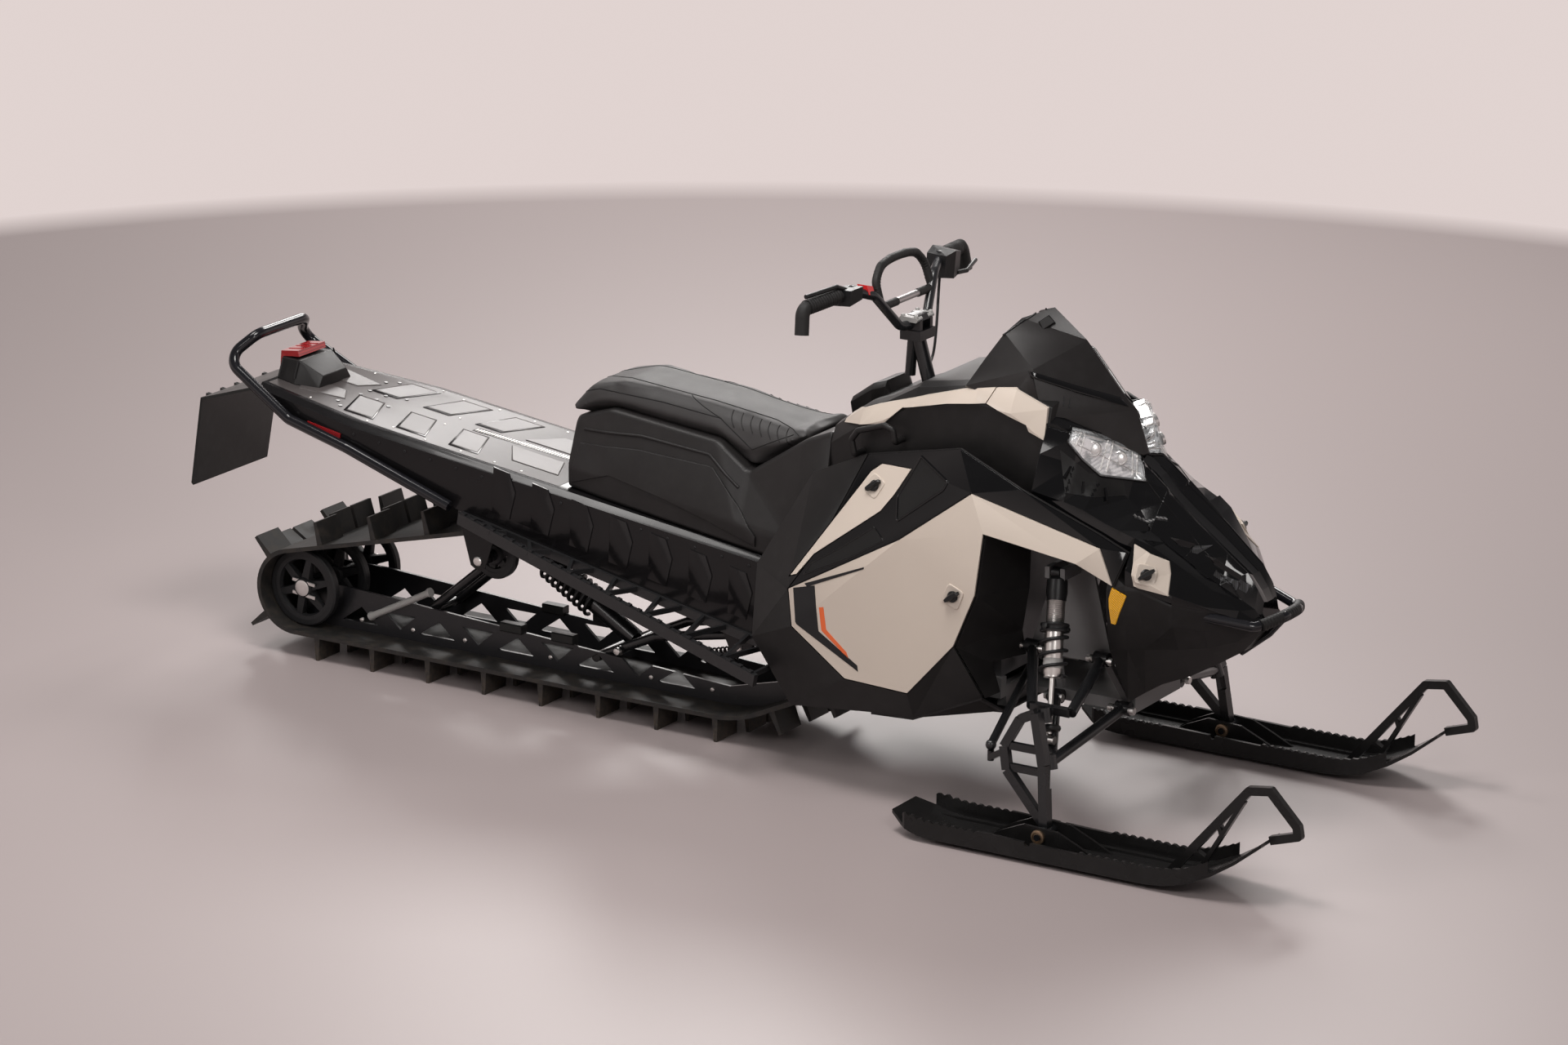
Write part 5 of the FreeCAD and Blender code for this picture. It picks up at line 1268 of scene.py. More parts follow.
@dataclass
class Stripes:
    """Black and orange stripes at the rear edge of the main panels, laid on as thin film."""

    black_out: Line = ((0.261, 0, 0.490), (0.275, 0, 0.407), (0.455, 0, 0.320))
    black_in: Line = ((0.321, 0, 0.506), (0.340, 0, 0.399), (0.452, 0, 0.334))
    line_low: Line = ((0.300, 0, 0.499), (0.455, 0, 0.568))
    line_high: Line = ((0.292, 0, 0.506), (0.455, 0, 0.573))
    orange_out: Line = ((0.338, 0, 0.456), (0.348, 0, 0.402), (0.428, 0, 0.345))
    orange_in: Line = ((0.350, 0, 0.459), (0.361, 0, 0.406), (0.420, 0, 0.361))
    film: float = 0.0007

    def build(self) -> None:
        """Lays the films on the right-hand panel and mirrors them."""
        skin = Skin.of("side_panel_right", "side_fairing_right")

        def film(first: Line, second: Line) -> Shape:
            """One film between two lines."""
            lines = [np.array(line) + OUT_RIGHT for line in (first, second)]
            return skin.band(*lines, TO_MIDDLE, self.film)

        add("stripe_black", both([film(self.black_out, self.black_in), film(self.line_low, self.line_high)]),
            Paint.STRIPE)
        add("stripe_orange", both([film(self.orange_out, self.orange_in)]), Paint.ORANGE)
        LOG.info("stripes")


@dataclass
class Fender:
    """Recesses in the gloss bands, drawn as near-black plates of painted shade, and the strips round them."""

    pocket: Line = (
        (0.556, 0, 0.838), (0.650, 0, 0.800), (0.642, 0, 0.780), (0.527, 0, 0.690), (0.512, 0, 0.742))
    blade_high: Line = ((0.300, 0, 0.553), (0.380, 0, 0.604), (0.463, 0, 0.664))
    blade_low: Line = ((0.283, 0, 0.524), (0.400, 0, 0.580), (0.500, 0, 0.642))
    lift: float = 0.0009
    sink: float = 0.003

    def build(self) -> None:
        """Lays near-black plates of painted shade for the recesses, and their rims, on the skin."""
        skin = Skin.of("side_fender_right", "side_fairing_right", "side_panel_right")
        ring = np.array(self.pocket) + OUT_RIGHT
        high = ring[[4, 0, 1]]
        low = np.array([ring[3], ring[3] * 0.45 + ring[2] * 0.55, ring[2]])
        blade = [np.array(line) + OUT_RIGHT for line in (self.blade_high, self.blade_low)]
        # Painted shade: the recess plates stand a little proud of the skin; their near-black colour stands in
        # for the shade of a recess.
        add("fender_recess", both([
            skin.band(high, low, TO_MIDDLE, self.lift, self.sink, (30, 12)),
            skin.band(*blade, TO_MIDDLE, self.lift, self.sink, (30, 6))]), Paint.SHADOW)
        around = np.concatenate([blade[0], blade[1][::-1], blade[0][:1]])
        add("fender_rims", both([
            skin.bead(np.concatenate([ring, ring[:1]]), TO_MIDDLE, 0.0034, 0.0, 120),
            skin.bead(around, TO_MIDDLE, 0.0024, 0.0, 120)]), Paint.GLOSS, smooth_deg=80)
        LOG.info("fender recesses")


@dataclass
class Lamps:
    """Twin headlamps: fluted reflectors, round projectors and a clear cover."""

    high: Line = ((0.911, -0.172, 0.945), (0.992, -0.088, 0.911), (1.031, -0.053, 0.886))
    low: Line = (
        (0.912, -0.190, 0.911), (0.940, -0.177, 0.873), (0.978, -0.152, 0.832), (1.053, -0.068, 0.810))
    heading: Point = (-0.50, 0.82, -0.28)
    pods: Line = ((0.34, 0.52, 0.0185), (0.70, 0.50, 0.0165))
    pod: Pairs = ((1.0, 0.0), (1.0, 0.9), (0.90, 1.0), (0.82, 0.5), (0.55, 0.7), (0.2, 0.8))
    fins: tuple[float, ...] = (0.10, 0.17, 0.48, 0.56, 0.84, 0.91)

    def build(self) -> None:
        """Lays both lamps on the hood."""
        skin = Skin.of("headlights", "hood")
        out = -np.array(self.heading) / np.linalg.norm(self.heading)
        high, low = np.array(self.high), np.array(self.low)

        def between(share: float, rise: float) -> np.ndarray:
            """Place on the lamp's face: share along it, rise from its low to its high edge."""
            step = int(round(share * 40))
            return spaced(low, 41)[step] * (1 - rise) + spaced(high, 41)[step] * rise

        plate = skin.band(high, low, self.heading, 0.0012, 0.003, (44, 16))
        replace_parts(add("lamp_bowls", both([plate]), Paint.REFLECTOR, smooth_deg=20), "headlights")
        cover = skin.band(high, low, self.heading, 0.0045, -0.0030, (44, 12), 0.0020)
        add("lamp_covers", both([cover]), Paint.COVER, smooth_deg=60)
        pods, fins = [], []
        for share, rise, radius in self.pods:
            spot, _ = skin.drop(between(share, rise)[None], self.heading)
            pods.append(turned_between(spot[0] - out * 0.002, spot[0] + out * 0.006,
                                       [(radius * part, height) for part, height in self.pod], 28))
        for share in self.fins:
            line = [between(share, 0.12), between(share + 0.04, 0.88)]
            fins.append(skin.bead(line, self.heading, 0.0016, 0.002, 24))
        for rise in (0.20, 0.80):
            line = [between(0.05, rise), between(0.95, rise)]
            fins.append(skin.bead(line, self.heading, 0.0014, 0.002, 40))
        add("lamp_projectors", both(pods), Paint.STEEL, smooth_deg=40)
        add("lamp_fins", both(fins), Paint.SILVER, smooth_deg=60)
        ring = np.concatenate([high, low[::-1], high[:1]])
        rim = skin.bead(ring, self.heading, 0.0042, 0.0, 120, 8)
        add("lamp_rims", both([rim]), Paint.GLOSS, smooth_deg=80)
        LOG.info("headlamps")


@dataclass
class HoodDetails:
    """Vents, mesh inserts and fins in the gloss hood, with near-black plates of painted shade in the slots and
    behind the side vents.
    """

    down: Point = (0.0, 0.35, -1.0)
    inwards: Point = (-0.5, 0.8, -0.35)
    slot_high: Line = ((0.905, -0.214, 0.9), (0.975, -0.196, 0.85), (1.030, -0.140, 0.85))
    slot_low: Line = ((0.925, -0.226, 0.8), (1.000, -0.214, 0.8), (1.052, -0.152, 0.8))
    inserts: tuple[tuple[Line, Line, int], ...] = (
        (((1.190, -0.100, 0.7), (1.228, -0.066, 0.7)), ((1.196, -0.112, 0.7), (1.206, -0.106, 0.7)), 6),
        (((1.250, -0.064, 0.6), (1.322, -0.046, 0.6)), ((1.246, -0.082, 0.6), (1.316, -0.062, 0.6)), 6),
        (((1.060, -0.158, 0.8), (1.124, -0.116, 0.8)), ((1.066, -0.166, 0.8), (1.130, -0.122, 0.8)), 4))
    teeth: tuple[Point, Point] = ((1.062, -0.162, 0.8), (1.127, -0.119, 0.8))
    tooth: Pairs = ((-0.002, -0.005), (0.002, -0.005), (0.0012, 0.004), (-0.0012, 0.004))
    fins: Line = ((0.966, -0.214, 0.816), (1.006, -0.176, 0.797), (0.930, -0.220, 0.850))
    fin: Pairs = ((-0.004, -0.016), (0.003, -0.016), (0.002, 0.016), (-0.002, 0.016))
    ridges: tuple[float, ...] = (0.020, 0.048, 0.078)
    ridge: Line = (
        (1.045, 1.0, 0.9), (1.104, 1.0, 0.9), (1.209, 1.02, 0.8), (1.262, 0.93, 0.8), (1.312, 0.82, 0.7))
    # Outline in x and z, and place across, of the near-black plates of painted shade behind the side vents.
    back: Pairs = ((0.790, 0.850), (0.905, 0.850), (0.915, 0.925), (0.870, 0.945), (0.790, 0.940))
    shade_plate_y: float = -0.176

    def build(self) -> None:
        """Lays the details on the hood's skin; a ridge's middle column is a share of its distance."""
        skin = Skin.of("hood", "nose")
        slot = skin.band(self.slot_high, self.slot_low, self.inwards, 0.0008, 0.003, (26, 6))
        meshes = [skin.band(high, low, self.down, 0.0012, 0.003, (14, columns))
                  for high, low, columns in self.inserts]
        first, last = np.array(self.teeth)
        tooth = slab(self.tooth, 0.004, 0.0005)
        teeth = [skin.stood(tooth, first * (1 - share) + last * share, self.down, (1, 0, 0))
                 for share in np.linspace(0.05, 0.95, 9)]
        add("hood_mesh", both(meshes), Paint.MESH)
        add("hood_teeth", both(teeth), Paint.BULKHEAD)
        # Painted shade: the slot under the lamp is a flat near-black pad for the shade of the recess.
        add("hood_slots", both([slot]), Paint.SHADOW)
        fins = [skin.stood(slab(self.fin, 0.006, 0.001, -0.002), place, self.inwards, (0.3, 0, 1))
                for place in self.fins]
        add("hood_fins", both(fins), Paint.GLOSS)
        lines = [[(x, -y * part, z) for x, part, z in self.ridge] for y in self.ridges]
        ridges = [skin.bead(line, (0, 0, -1), 0.0016, 0.0, 90) for line in lines]
        add("hood_ridge_lines", both(ridges), Paint.GLOSS, smooth_deg=80)
        # Painted shade: a near-black plate inside each side vent, standing in for the shade seen through the
        # gap.
        points, faces = slab(self.back, 0.008, 0.002)
        back = points[:, [0, 2, 1]] + np.array([0, self.shade_plate_y, 0])
        add("vent_backs", both([(back, faces)]), Paint.SHADOW)
        LOG.info("hood details")


@dataclass
class Screen:
    """Windshield details: the gloss sill, the upper vent and two slots."""

    inwards: Point = (-0.62, 0.70, -0.35)
    sill_high: Line = ((0.782, -0.150, 1.056), (0.870, -0.085, 1.020), (0.950, -0.012, 0.985))
    sill_low: Line = ((0.792, -0.152, 1.040), (0.884, -0.085, 1.000), (0.972, -0.012, 0.966))
    slots: Line = ((0.857, -0.116, 0.985), (0.868, -0.107, 0.981))
    slot: Pairs = ((-0.0014, -0.011), (0.0014, -0.011), (0.0014, 0.011), (-0.0014, 0.011))
    vent_place: Point = (0.757, -0.025, 1.141)
    vent: Pairs = ((-0.018, -0.012), (0.018, -0.012), (0.015, 0.012), (-0.015, 0.012))
    edge: Line = ((0.690, -0.112, 1.121), (0.728, -0.024, 1.160))

    def build(self) -> None:
        """Lays the details on the screen."""
        skin = Skin.of("windshield")
        sill = skin.band(self.sill_high, self.sill_low, self.inwards, 0.0022, 0.003, (40, 6), 0.002)
        add("screen_sill", both([sill]), Paint.GLOSS, smooth_deg=80)
        slots = [skin.stood(slab(self.slot, 0.002, 0.0005, -0.002), place, self.inwards, (0.2, 0, 1))
                 for place in self.slots]
        add("screen_slots", both(slots), Paint.STRIPE)
        vent = skin.stood(slab(self.vent, 0.006, 0.003, -0.003), self.vent_place, self.inwards, (-1, 0, 1.2))
        add("screen_vents", both([vent]), Paint.DARK)
        edge = skin.bead(self.edge, self.inwards, 0.0022, 0.0, 30)
        add("screen_edge", both([edge]), Paint.GLOSS, smooth_deg=80)
        LOG.info("windshield details")


@dataclass
class Cushion:
    """Padded saddle: crowned top, side bands, and skirts that pull in under the lower seam."""

    top: Pairs = (
        (-0.524, 0.764), (-0.474, 0.824), (-0.378, 0.844), (-0.130, 0.823), (0.040, 0.798), (0.100, 0.788),
        (0.152, 0.796),
    )
    low: Pairs = (
        (-0.500, 0.750), (-0.455, 0.768), (-0.394, 0.786), (-0.084, 0.755), (-0.040, 0.724), (0.004, 0.693),
        (0.150, 0.786),
    )
    half: float = 0.132
    section: Pairs = (
        (0.0, 1.0), (0.45, 0.995), (0.74, 0.955), (0.86, 0.88), (0.92, 0.76), (1.0, 0.36), (0.97, 0.24),
        (0.88, 0.0), (0.0, 0.0),
    )
    rows: int = 44
    seams: tuple[Line, ...] = (
        ((-0.500, 0, 0.812), (-0.455, 0, 0.828), (-0.375, 0, 0.834), (-0.130, 0, 0.813), (0.040, 0, 0.790),
         (0.100, 0, 0.774), (0.128, 0, 0.762)),
        ((-0.512, 0, 0.776), (-0.440, 0, 0.796), (-0.260, 0, 0.789), (-0.092, 0, 0.773)),
        ((-0.196, 0, 0.817), (-0.150, 0, 0.796), (-0.092, 0, 0.773)),
        ((-0.092, 0, 0.773), (-0.046, 0, 0.742), (0.004, 0, 0.708), (0.110, 0, 0.762)))
    inwards: Point = (0.0, 1.0, -0.25)
    start: Point = (0.0, -0.20, 0.05)
    voxel: float = 0.006
    pressure: float = 4.0
    stiffness: float = 40.0
    quality: int = 5
    cap: float = 0.009
    frames: int = 20

    def _body(self) -> Shape:
        """Sections from rear to front: width and height shares mixed between the two side lines.

        Returns:
            The cushion before it is padded.
        """
        top, low = (spaced(np.array([(x, 0.0, z) for x, z in line]), self.rows)
                    for line in (self.top, self.low))
        share = np.array(self.section)
        around = np.concatenate([share, share[-2:0:-1] * np.array([-1.0, 1.0])])
        along = np.linspace(0.0, 1.0, self.rows)
        width = self.half * (1.0 - 0.10 * np.clip((along - 0.55) / 0.45, 0, 1) ** 2 - 0.05 * (1 - along) ** 4)
        grid = low[:, None] * (1 - around[None, :, 1:]) + top[:, None] * around[None, :, 1:]
        grid[..., 1] = width[:, None] * around[None, :, 0]
        return lattice(grid)

    def _swell(self, piece: bpy.types.Object) -> None:
        """Blows the cover up by cloth pressure and keeps each point within the cap.

        Args:
            piece: the cushion.
        """
        mesh = piece.data
        before = np.empty(len(mesh.vertices) * 3)
        mesh.vertices.foreach_get("co", before)
        cloth = piece.modifiers.new("cloth", "CLOTH")
        cloth.settings.use_pressure = True
        cloth.settings.uniform_pressure_force = self.pressure
        cloth.settings.effector_weights.gravity = 0.0
        cloth.settings.tension_stiffness = self.stiffness
        cloth.settings.quality = self.quality
        cloth.point_cache.frame_start = 1
        cloth.point_cache.frame_end = self.frames
        scene = bpy.context.scene
        for number in range(1, self.frames + 1):
            scene.frame_set(number)
        blown = piece.evaluated_get(bpy.context.evaluated_depsgraph_get())
        after = np.empty_like(before)
        blown.to_mesh().vertices.foreach_get("co", after)
        blown.to_mesh_clear()
        piece.modifiers.remove(cloth)
        scene.frame_set(1)
        move = (after - before).reshape(-1, 3)
        size = np.linalg.norm(move, axis=1, keepdims=True)
        move *= np.minimum(1.0, self.cap / np.maximum(size, 1e-9))
        mesh.vertices.foreach_set("co", (before.reshape(-1, 3) + move).ravel())
        mesh.update()

    def build(self) -> None:
        """Makes the cushion, its seams and its moulded gripper lines."""
        piece = add("saddle", self._body(), Paint.SEAT, node_body("seat"), 60.0)
        remesh = piece.modifiers.new("voxels", "REMESH")
        remesh.mode = "VOXEL"
        remesh.voxel_size = self.voxel
        remesh.use_smooth_shade = True
        settle(piece)
        self._swell(piece)
        relax = piece.modifiers.new("relax", "SMOOTH")
        relax.factor = 0.5
        relax.iterations = 4
        finer = piece.modifiers.new("finer", "SUBSURF")
        finer.levels = 1
        finer.render_levels = 1
        settle(piece)
        piece.data.shade_smooth()
        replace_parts(piece, "seat")
        skin = Skin(piece.data)
        lines = [skin.bead(np.array(path) + self.start, self.inwards, 0.0013, -0.0002, 80)
                 for path in self.seams]
        grips = []
        for number in range(7):
            x = -0.070 + number * 0.026
            z = 0.797 - number * 0.0036
            path = np.array([(x, 0, z), (x + 0.004, 0, z - 0.020), (x + 0.018, 0, z - 0.042)]) + self.start
            grips.append(skin.bead(eased(path), self.inwards, 0.0016, -0.0003, 26))
        add("saddle_seams", both(lines), Paint.SEAM, node_body("seat"), 80.0)
        add("saddle_gripper_lines", both(grips), Paint.BASE, node_body("seat"), 80.0)
        LOG.info("saddle")


def settle(piece: bpy.types.Object) -> None:
    """Applies every modifier of a piece.

    Args:
        piece: a mesh object.
    """
    graph = bpy.context.evaluated_depsgraph_get()
    mesh = bpy.data.meshes.new_from_object(piece.evaluated_get(graph))
    piece.modifiers.clear()
    old = piece.data
    piece.data = mesh
    mesh.name = old.name
    bpy.data.meshes.remove(old)


@dataclass
class SeatBase:
    """Raised panels and creases on the sides of the seat's base, and its latch bracket."""

    crease: Line = (
        (-0.475, 0, 0.690), (-0.300, 0, 0.700), (-0.086, 0, 0.690), (0.000, 0, 0.610), (0.060, 0, 0.545))
    foot: Line = (
        (-0.490, 0, 0.590), (-0.375, 0, 0.628), (-0.220, 0, 0.598), (-0.060, 0, 0.556), (0.060, 0, 0.520))
    ledge: Line = ((-0.470, 0, 0.722), (-0.300, 0, 0.732), (-0.100, 0, 0.716), (-0.010, 0, 0.650))
    start: Point = (0.0, -0.3, 0.0)
    bracket: tuple[tuple[Point, Point, float, float], ...] = (
        ((-0.560, -0.034, 0.590), (-0.508, -0.034, 0.588), 0.010, 0.016),
        ((-0.560, 0.034, 0.590), (-0.508, 0.034, 0.588), 0.010, 0.016),
        ((-0.552, -0.045, 0.596), (-0.552, 0.045, 0.596), 0.014, 0.012),
        ((-0.520, -0.030, 0.606), (-0.520, 0.030, 0.606), 0.030, 0.012))

    def build(self) -> None:
        """Lays the raised panels on both sides and the bracket behind."""
        skin = Skin.of("seat_base")
        upper, lower, ledge = (np.array(line) + self.start for line in (self.crease, self.foot, self.ledge))
        plate = skin.band(upper, lower, TO_MIDDLE, 0.0045, 0.004, (60, 14), 0.002)
        rounded(add("base_panels", both([plate]), Paint.BASE, smooth_deg=50), 0.0035, 3, 50.0)
        add("base_ledges", both([skin.bead(ledge, TO_MIDDLE, 0.004, 0.0, 80, 8)]), Paint.BASE, smooth_deg=80)
        add("seat_bracket", joined(beam(*bar) for bar in self.bracket), Paint.CONTROL)
        LOG.info("seat base")


@dataclass
class SkiShock:
    """Coil-over of one ski: black cap, threaded sleeve, collar, silver body, rod and spring."""

    side: str
    sign: float
    top: Point = (0.905, 0.215, 0.600)
    foot: Point = (0.972, 0.366, 0.2442)
    coil_shares: Pair = (0.37, 0.63)
    coil_turns: float = 3.3
    coil_radius: float = 0.031
    wire: float = 0.0042

    def build(self) -> None:
        """Replaces the plain shock by turned parts."""
        flip = np.array([1.0, self.sign, 1.0])
        top, foot = np.array(self.top) * flip, np.array(self.foot) * flip
        length = float(np.linalg.norm(foot - top))

        def part(profile: Sequence[Pair], sides: int = 32) -> Shape:
            """Turned part along the shock; heights in shares of its length."""
            return turned_between(top, foot, profile, sides)

        node = "ski_shock_" + self.side
        body = node_body(node)
        threads = [(0.0212 + 0.0009 * (k % 2), 0.165 + 0.145 * k / 34) for k in range(35)]
        silver = add("shock_sleeve_" + self.side, joined([
            part([(0.010, 0.164)] + threads + [(0.010, 0.311)]),
            part([(0.012, 0.34), (0.0225, 0.345), (0.0225, 0.60), (0.0205, 0.612), (0.0205, 0.628),
                  (0.010, 0.632)]),
            part([(0.003, 0.60), (0.0065, 0.605), (0.0065, 0.965), (0.003, 0.97)], 20),
            rod(foot - flip * (0.016, 0, 0), foot + flip * (0.016, 0, 0), 0.010),
            rod(top - flip * (0.022, 0, 0), top + flip * (0.022, 0, 0), 0.008),
        ]), Paint.SHOCK, body, 40.0)
        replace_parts(silver, node)
        lugs = [part([(0.012, 0.02), (0.0245, 0.045), (0.0255, 0.12), (0.0235, 0.155), (0.0235, 0.17),
                      (0.01, 0.172)]),
                part([(0.020, 0.305), (0.034, 0.306), (0.035, 0.316), (0.032, 0.326), (0.032, 0.338),
                      (0.035, 0.345), (0.034, 0.356), (0.020, 0.358)], 24),
                part([(0.006, 0.905), (0.026, 0.915), (0.028, 0.93), (0.026, 0.945), (0.012, 0.955)], 24)]
        middle = top + (foot - top) * 0.331
        rows = axes_at(foot - top, (1, 0, 0))
        for turn in (0.4, 3.3):
            out = rows[0] * math.cos(turn) + rows[1] * math.sin(turn)
            lugs.append(rod(middle + out * 0.030, middle + out * 0.044, 0.007, 14, 0.003, 0.1))
        lugs.append(rod(top - flip * (0.012, 0, 0), top + flip * (0.012, 0, 0), 0.0145, 24, 0.006, 0.05))
        add("shock_caps_" + self.side, joined(lugs), Paint.CONTROL, body, 40.0)
        band = part([(0.0215, 0.515), (0.0231, 0.517), (0.0231, 0.575), (0.0215, 0.577)])
        add("shock_band_" + self.side, band, Paint.ASH, body)
        first, last = (top + (foot - top) * share for share in self.coil_shares)
        spring = wound(first, last, self.coil_turns, self.coil_radius, self.wire, 110, 8, (1, 0, 0))
        coil = add("shock_coil_" + self.side, spring, Paint.CONTROL, node_body("ski_springs"), 80.0)
        if self.side == "right":
            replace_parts(coil, "ski_springs")
        LOG.info("ski shock, %s, %.3f m", self.side, length)


@dataclass
class FrontEnd:
    """Pivot bolts of the lower arms in the wheel arches, and the bumper's ribbed wrap."""

    bolts: tuple[tuple[float, float, float, float], ...] = (
        (0.860, 0.140, 0.268, 0.024), (1.042, 0.140, 0.268, 0.034), (0.815, 0.175, 0.392, 0.034),
        (1.000, 0.175, 0.392, 0.034))
    bolt: Pairs = ((0.004, 0.0), (0.009, 0.0), (0.010, 0.14), (0.006, 0.15), (0.006, 0.85), (0.010, 0.86),
                              (0.009, 1.0), (0.004, 1.0))
    wrap: Line = (
        (1.378, -0.096, 0.5195), (1.408, -0.036, 0.532), (1.408, 0.036, 0.532), (1.378, 0.096, 0.5195))

    def build(self) -> None:
        """Adds the fittings; a bolt is its middle and how far it reaches each way."""
        bolts = [turned_between((x - reach, -y, z), (x + reach, -y, z), self.bolt, 16)
                 for x, y, z, reach in self.bolts]
        add("pivot_bolts", both(bolts), Paint.SILVER, "chassis", 40.0)
        path = spaced(eased(self.wrap), 90)
        swell = 1.0 + 0.05 * np.sin(np.linspace(0.0, 46.0 * math.pi, len(path)))
        add("bumper_wrap", swept(path, circle(0.0142, 16), swell), Paint.GRIP, smooth_deg=60)
        LOG.info("front fittings")


@dataclass
class Wheels:
    """Idler wheels with rubber tyres, spokes and hubs, and the axle adjusters."""

    rear: Point = (-1.330, 0.0, 0.173)
    carrier: Point = (-0.745, 0.0, 0.355)
    spokes: int = 6
    width: float = 0.024
    corners: int = 40
    ring: Pairs = (
        (0.016, 0.0), (0.004, 0.02), (0.0, 0.18), (0.0, 0.82), (0.004, 0.98), (0.016, 1.0), (0.014, 0.96),
        (0.026, 0.90), (0.030, 0.5), (0.026, 0.10), (0.014, 0.04))
    hub: Pairs = ((0.012, -0.2), (0.024, -0.15), (0.028, 0.1), (0.028, 0.9), (0.024, 1.15), (0.012, 1.2))
    spoke: Pairs = (
        (-0.009, -0.008), (0.009, -0.008), (0.011, 0.0), (0.009, 0.008), (-0.009, 0.008), (-0.011, 0.0))
    plate: float = -0.1485

    def _wheel(self, centre: Point, y: float, radius: float) -> tuple[Shape, Shape]:
        """Tyre and spoked rim of one wheel, its axle across the machine.

        The ring's section is a row of depths under the radius, with shares of the width.

        Args:
            centre: middle of its axle.
            y: its own place across the machine.
            radius: the tyre's radius.

        Returns:
            The wheel, then its hub.
        """
        base = np.array([centre[0], y, centre[2]])
        reach = np.array([0.0, self.width / 2, 0.0])
        start, end = base - reach, base + reach
        section = [(radius - depth, share * self.width) for depth, share in self.ring]
        places, _ = placed(turned(section, self.corners), start, end - start)
        parts = [lattice(places.reshape(-1, self.corners, 3), ring=True)]
        for number in range(self.spokes):
            angle = 2.0 * math.pi * number / self.spokes + 0.3
            way = np.array([math.cos(angle), 0.0, math.sin(angle)])
            path = np.array([base + way * 0.020, base + way * (radius - 0.018)])
            parts.append(swept(path, np.array(self.spoke), np.array([1.25, 0.85]), (0, 1, 0)))
        return joined(parts), turned_between(start, end, self.hub, 28)

    def build(self) -> None:
        """Replaces the plain wheels and adds the adjusters."""
        rims, hubs = [], []
        for centre, sides, radius in (
                (self.rear, (-0.135, 0.0, 0.135), 0.1015), (self.carrier, (-0.125, 0.125), 0.0645)):
            for y in sides:
                rim, hub = self._wheel(centre, y, radius)
                rims.append(rim)
                hubs.append(hub)
            reach = sides[-1] + 0.016
            hubs.append(rod((centre[0], -reach, centre[2]), (centre[0], reach, centre[2]), 0.011))
        wheels = add("spoked_wheels", joined(rims + hubs), Paint.WHEEL, node_body("idler_wheels"), 40.0)
        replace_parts(wheels, "idler_wheels")
        x, _, z = self.rear
        y = self.plate
        plates = [beam((x - 0.030, y, z + rise), (x + 0.040, y, z + rise - 0.008), 0.004, 0.010)
                  for rise in (0.020, -0.014)]
        plates.append(turned_between((x, -0.1465, z), (x, -0.1525, z), [
            (0.004, 0.0), (0.021, 0.0), (0.021, 0.8), (0.018, 1.0), (0.006, 1.0)], 28))
        add("axle_adjusters", both(plates), Paint.SILVER, node_body("idler_wheels"))
        LOG.info("idler wheels")


@dataclass
class SuspensionFittings:
    """Bolt heads, the silver limiter rod, the front spring and the rail's slide blocks."""

    heads: tuple[tuple[Point, float, float, int], ...] = (
        ((-0.745, -0.2065, 0.355), 0.012, 0.006, 20), ((-0.400, -0.1005, 0.150), 0.010, 0.006, 16),
        ((0.020, -0.2065, 0.262), 0.011, 0.006, 16))
    rail_heads: tuple[float, ...] = (-1.18, -1.02, -0.86, -0.60, -0.30, -0.12)
    link: Pairs = ((0.003, 0.0), (0.011, 0.0), (0.012, 0.04), (0.009, 0.08), (0.009, 0.94), (0.012, 0.97),
                              (0.012, 1.0), (0.003, 1.0))
    blocks: Pair = (-0.715, -0.56)

    def build(self) -> None:
        """Adds the fittings of the rear suspension."""
        right = (0, -1, 0)
        heads = [button(place, right, radius, height, sides) for place, radius, height, sides in self.heads]
        heads += [button((x, -0.0995, 0.100), right, 0.006, 0.003, 12) for x in self.rail_heads]
        add("suspension_bolts", both(heads), Paint.SILVER)
        link = turned_between((-1.150, -0.104, 0.115), (-0.960, -0.104, 0.212), self.link, 18)
        add("silver_link", link, Paint.ASH)
        blocks = [beam((x - 0.032, -0.095, 0.158), (x + 0.032, -0.095, 0.158), 0.028, 0.024, 0.003)
                  for x in self.blocks]
        add("rail_blocks", both(blocks), Paint.FLAP)
        spring = wound((-0.170, -0.055, 0.165), (-0.075, -0.055, 0.190), 8.0, 0.018, 0.0026, 150, 6,
                       TO_MIDDLE)
        add("front_limiter_spring", spring, Paint.CONTROL, smooth_deg=80)
        LOG.info("suspension fittings")


@dataclass
class TrackShock:
    """Spring of the shock in the middle of the track."""

    top: Point = (-0.745, 0.0, 0.355)
    foot: Point = (-0.400, 0.0, 0.150)
    shares: Pair = (0.20, 0.62)
    turns: float = 9.0
    radius: float = 0.036
    wire: float = 0.005

    def build(self) -> None:
        """Winds the spring round the CAD shock."""
        top, foot = np.array(self.top), np.array(self.foot)
        first, last = (top + (foot - top) * share for share in self.shares)
        spring = wound(first, last, self.turns, self.radius, self.wire, 220, 7, TO_MIDDLE)
        add("track_shock_spring", spring, Paint.CONTROL, smooth_deg=80)
        LOG.info("track shock spring")


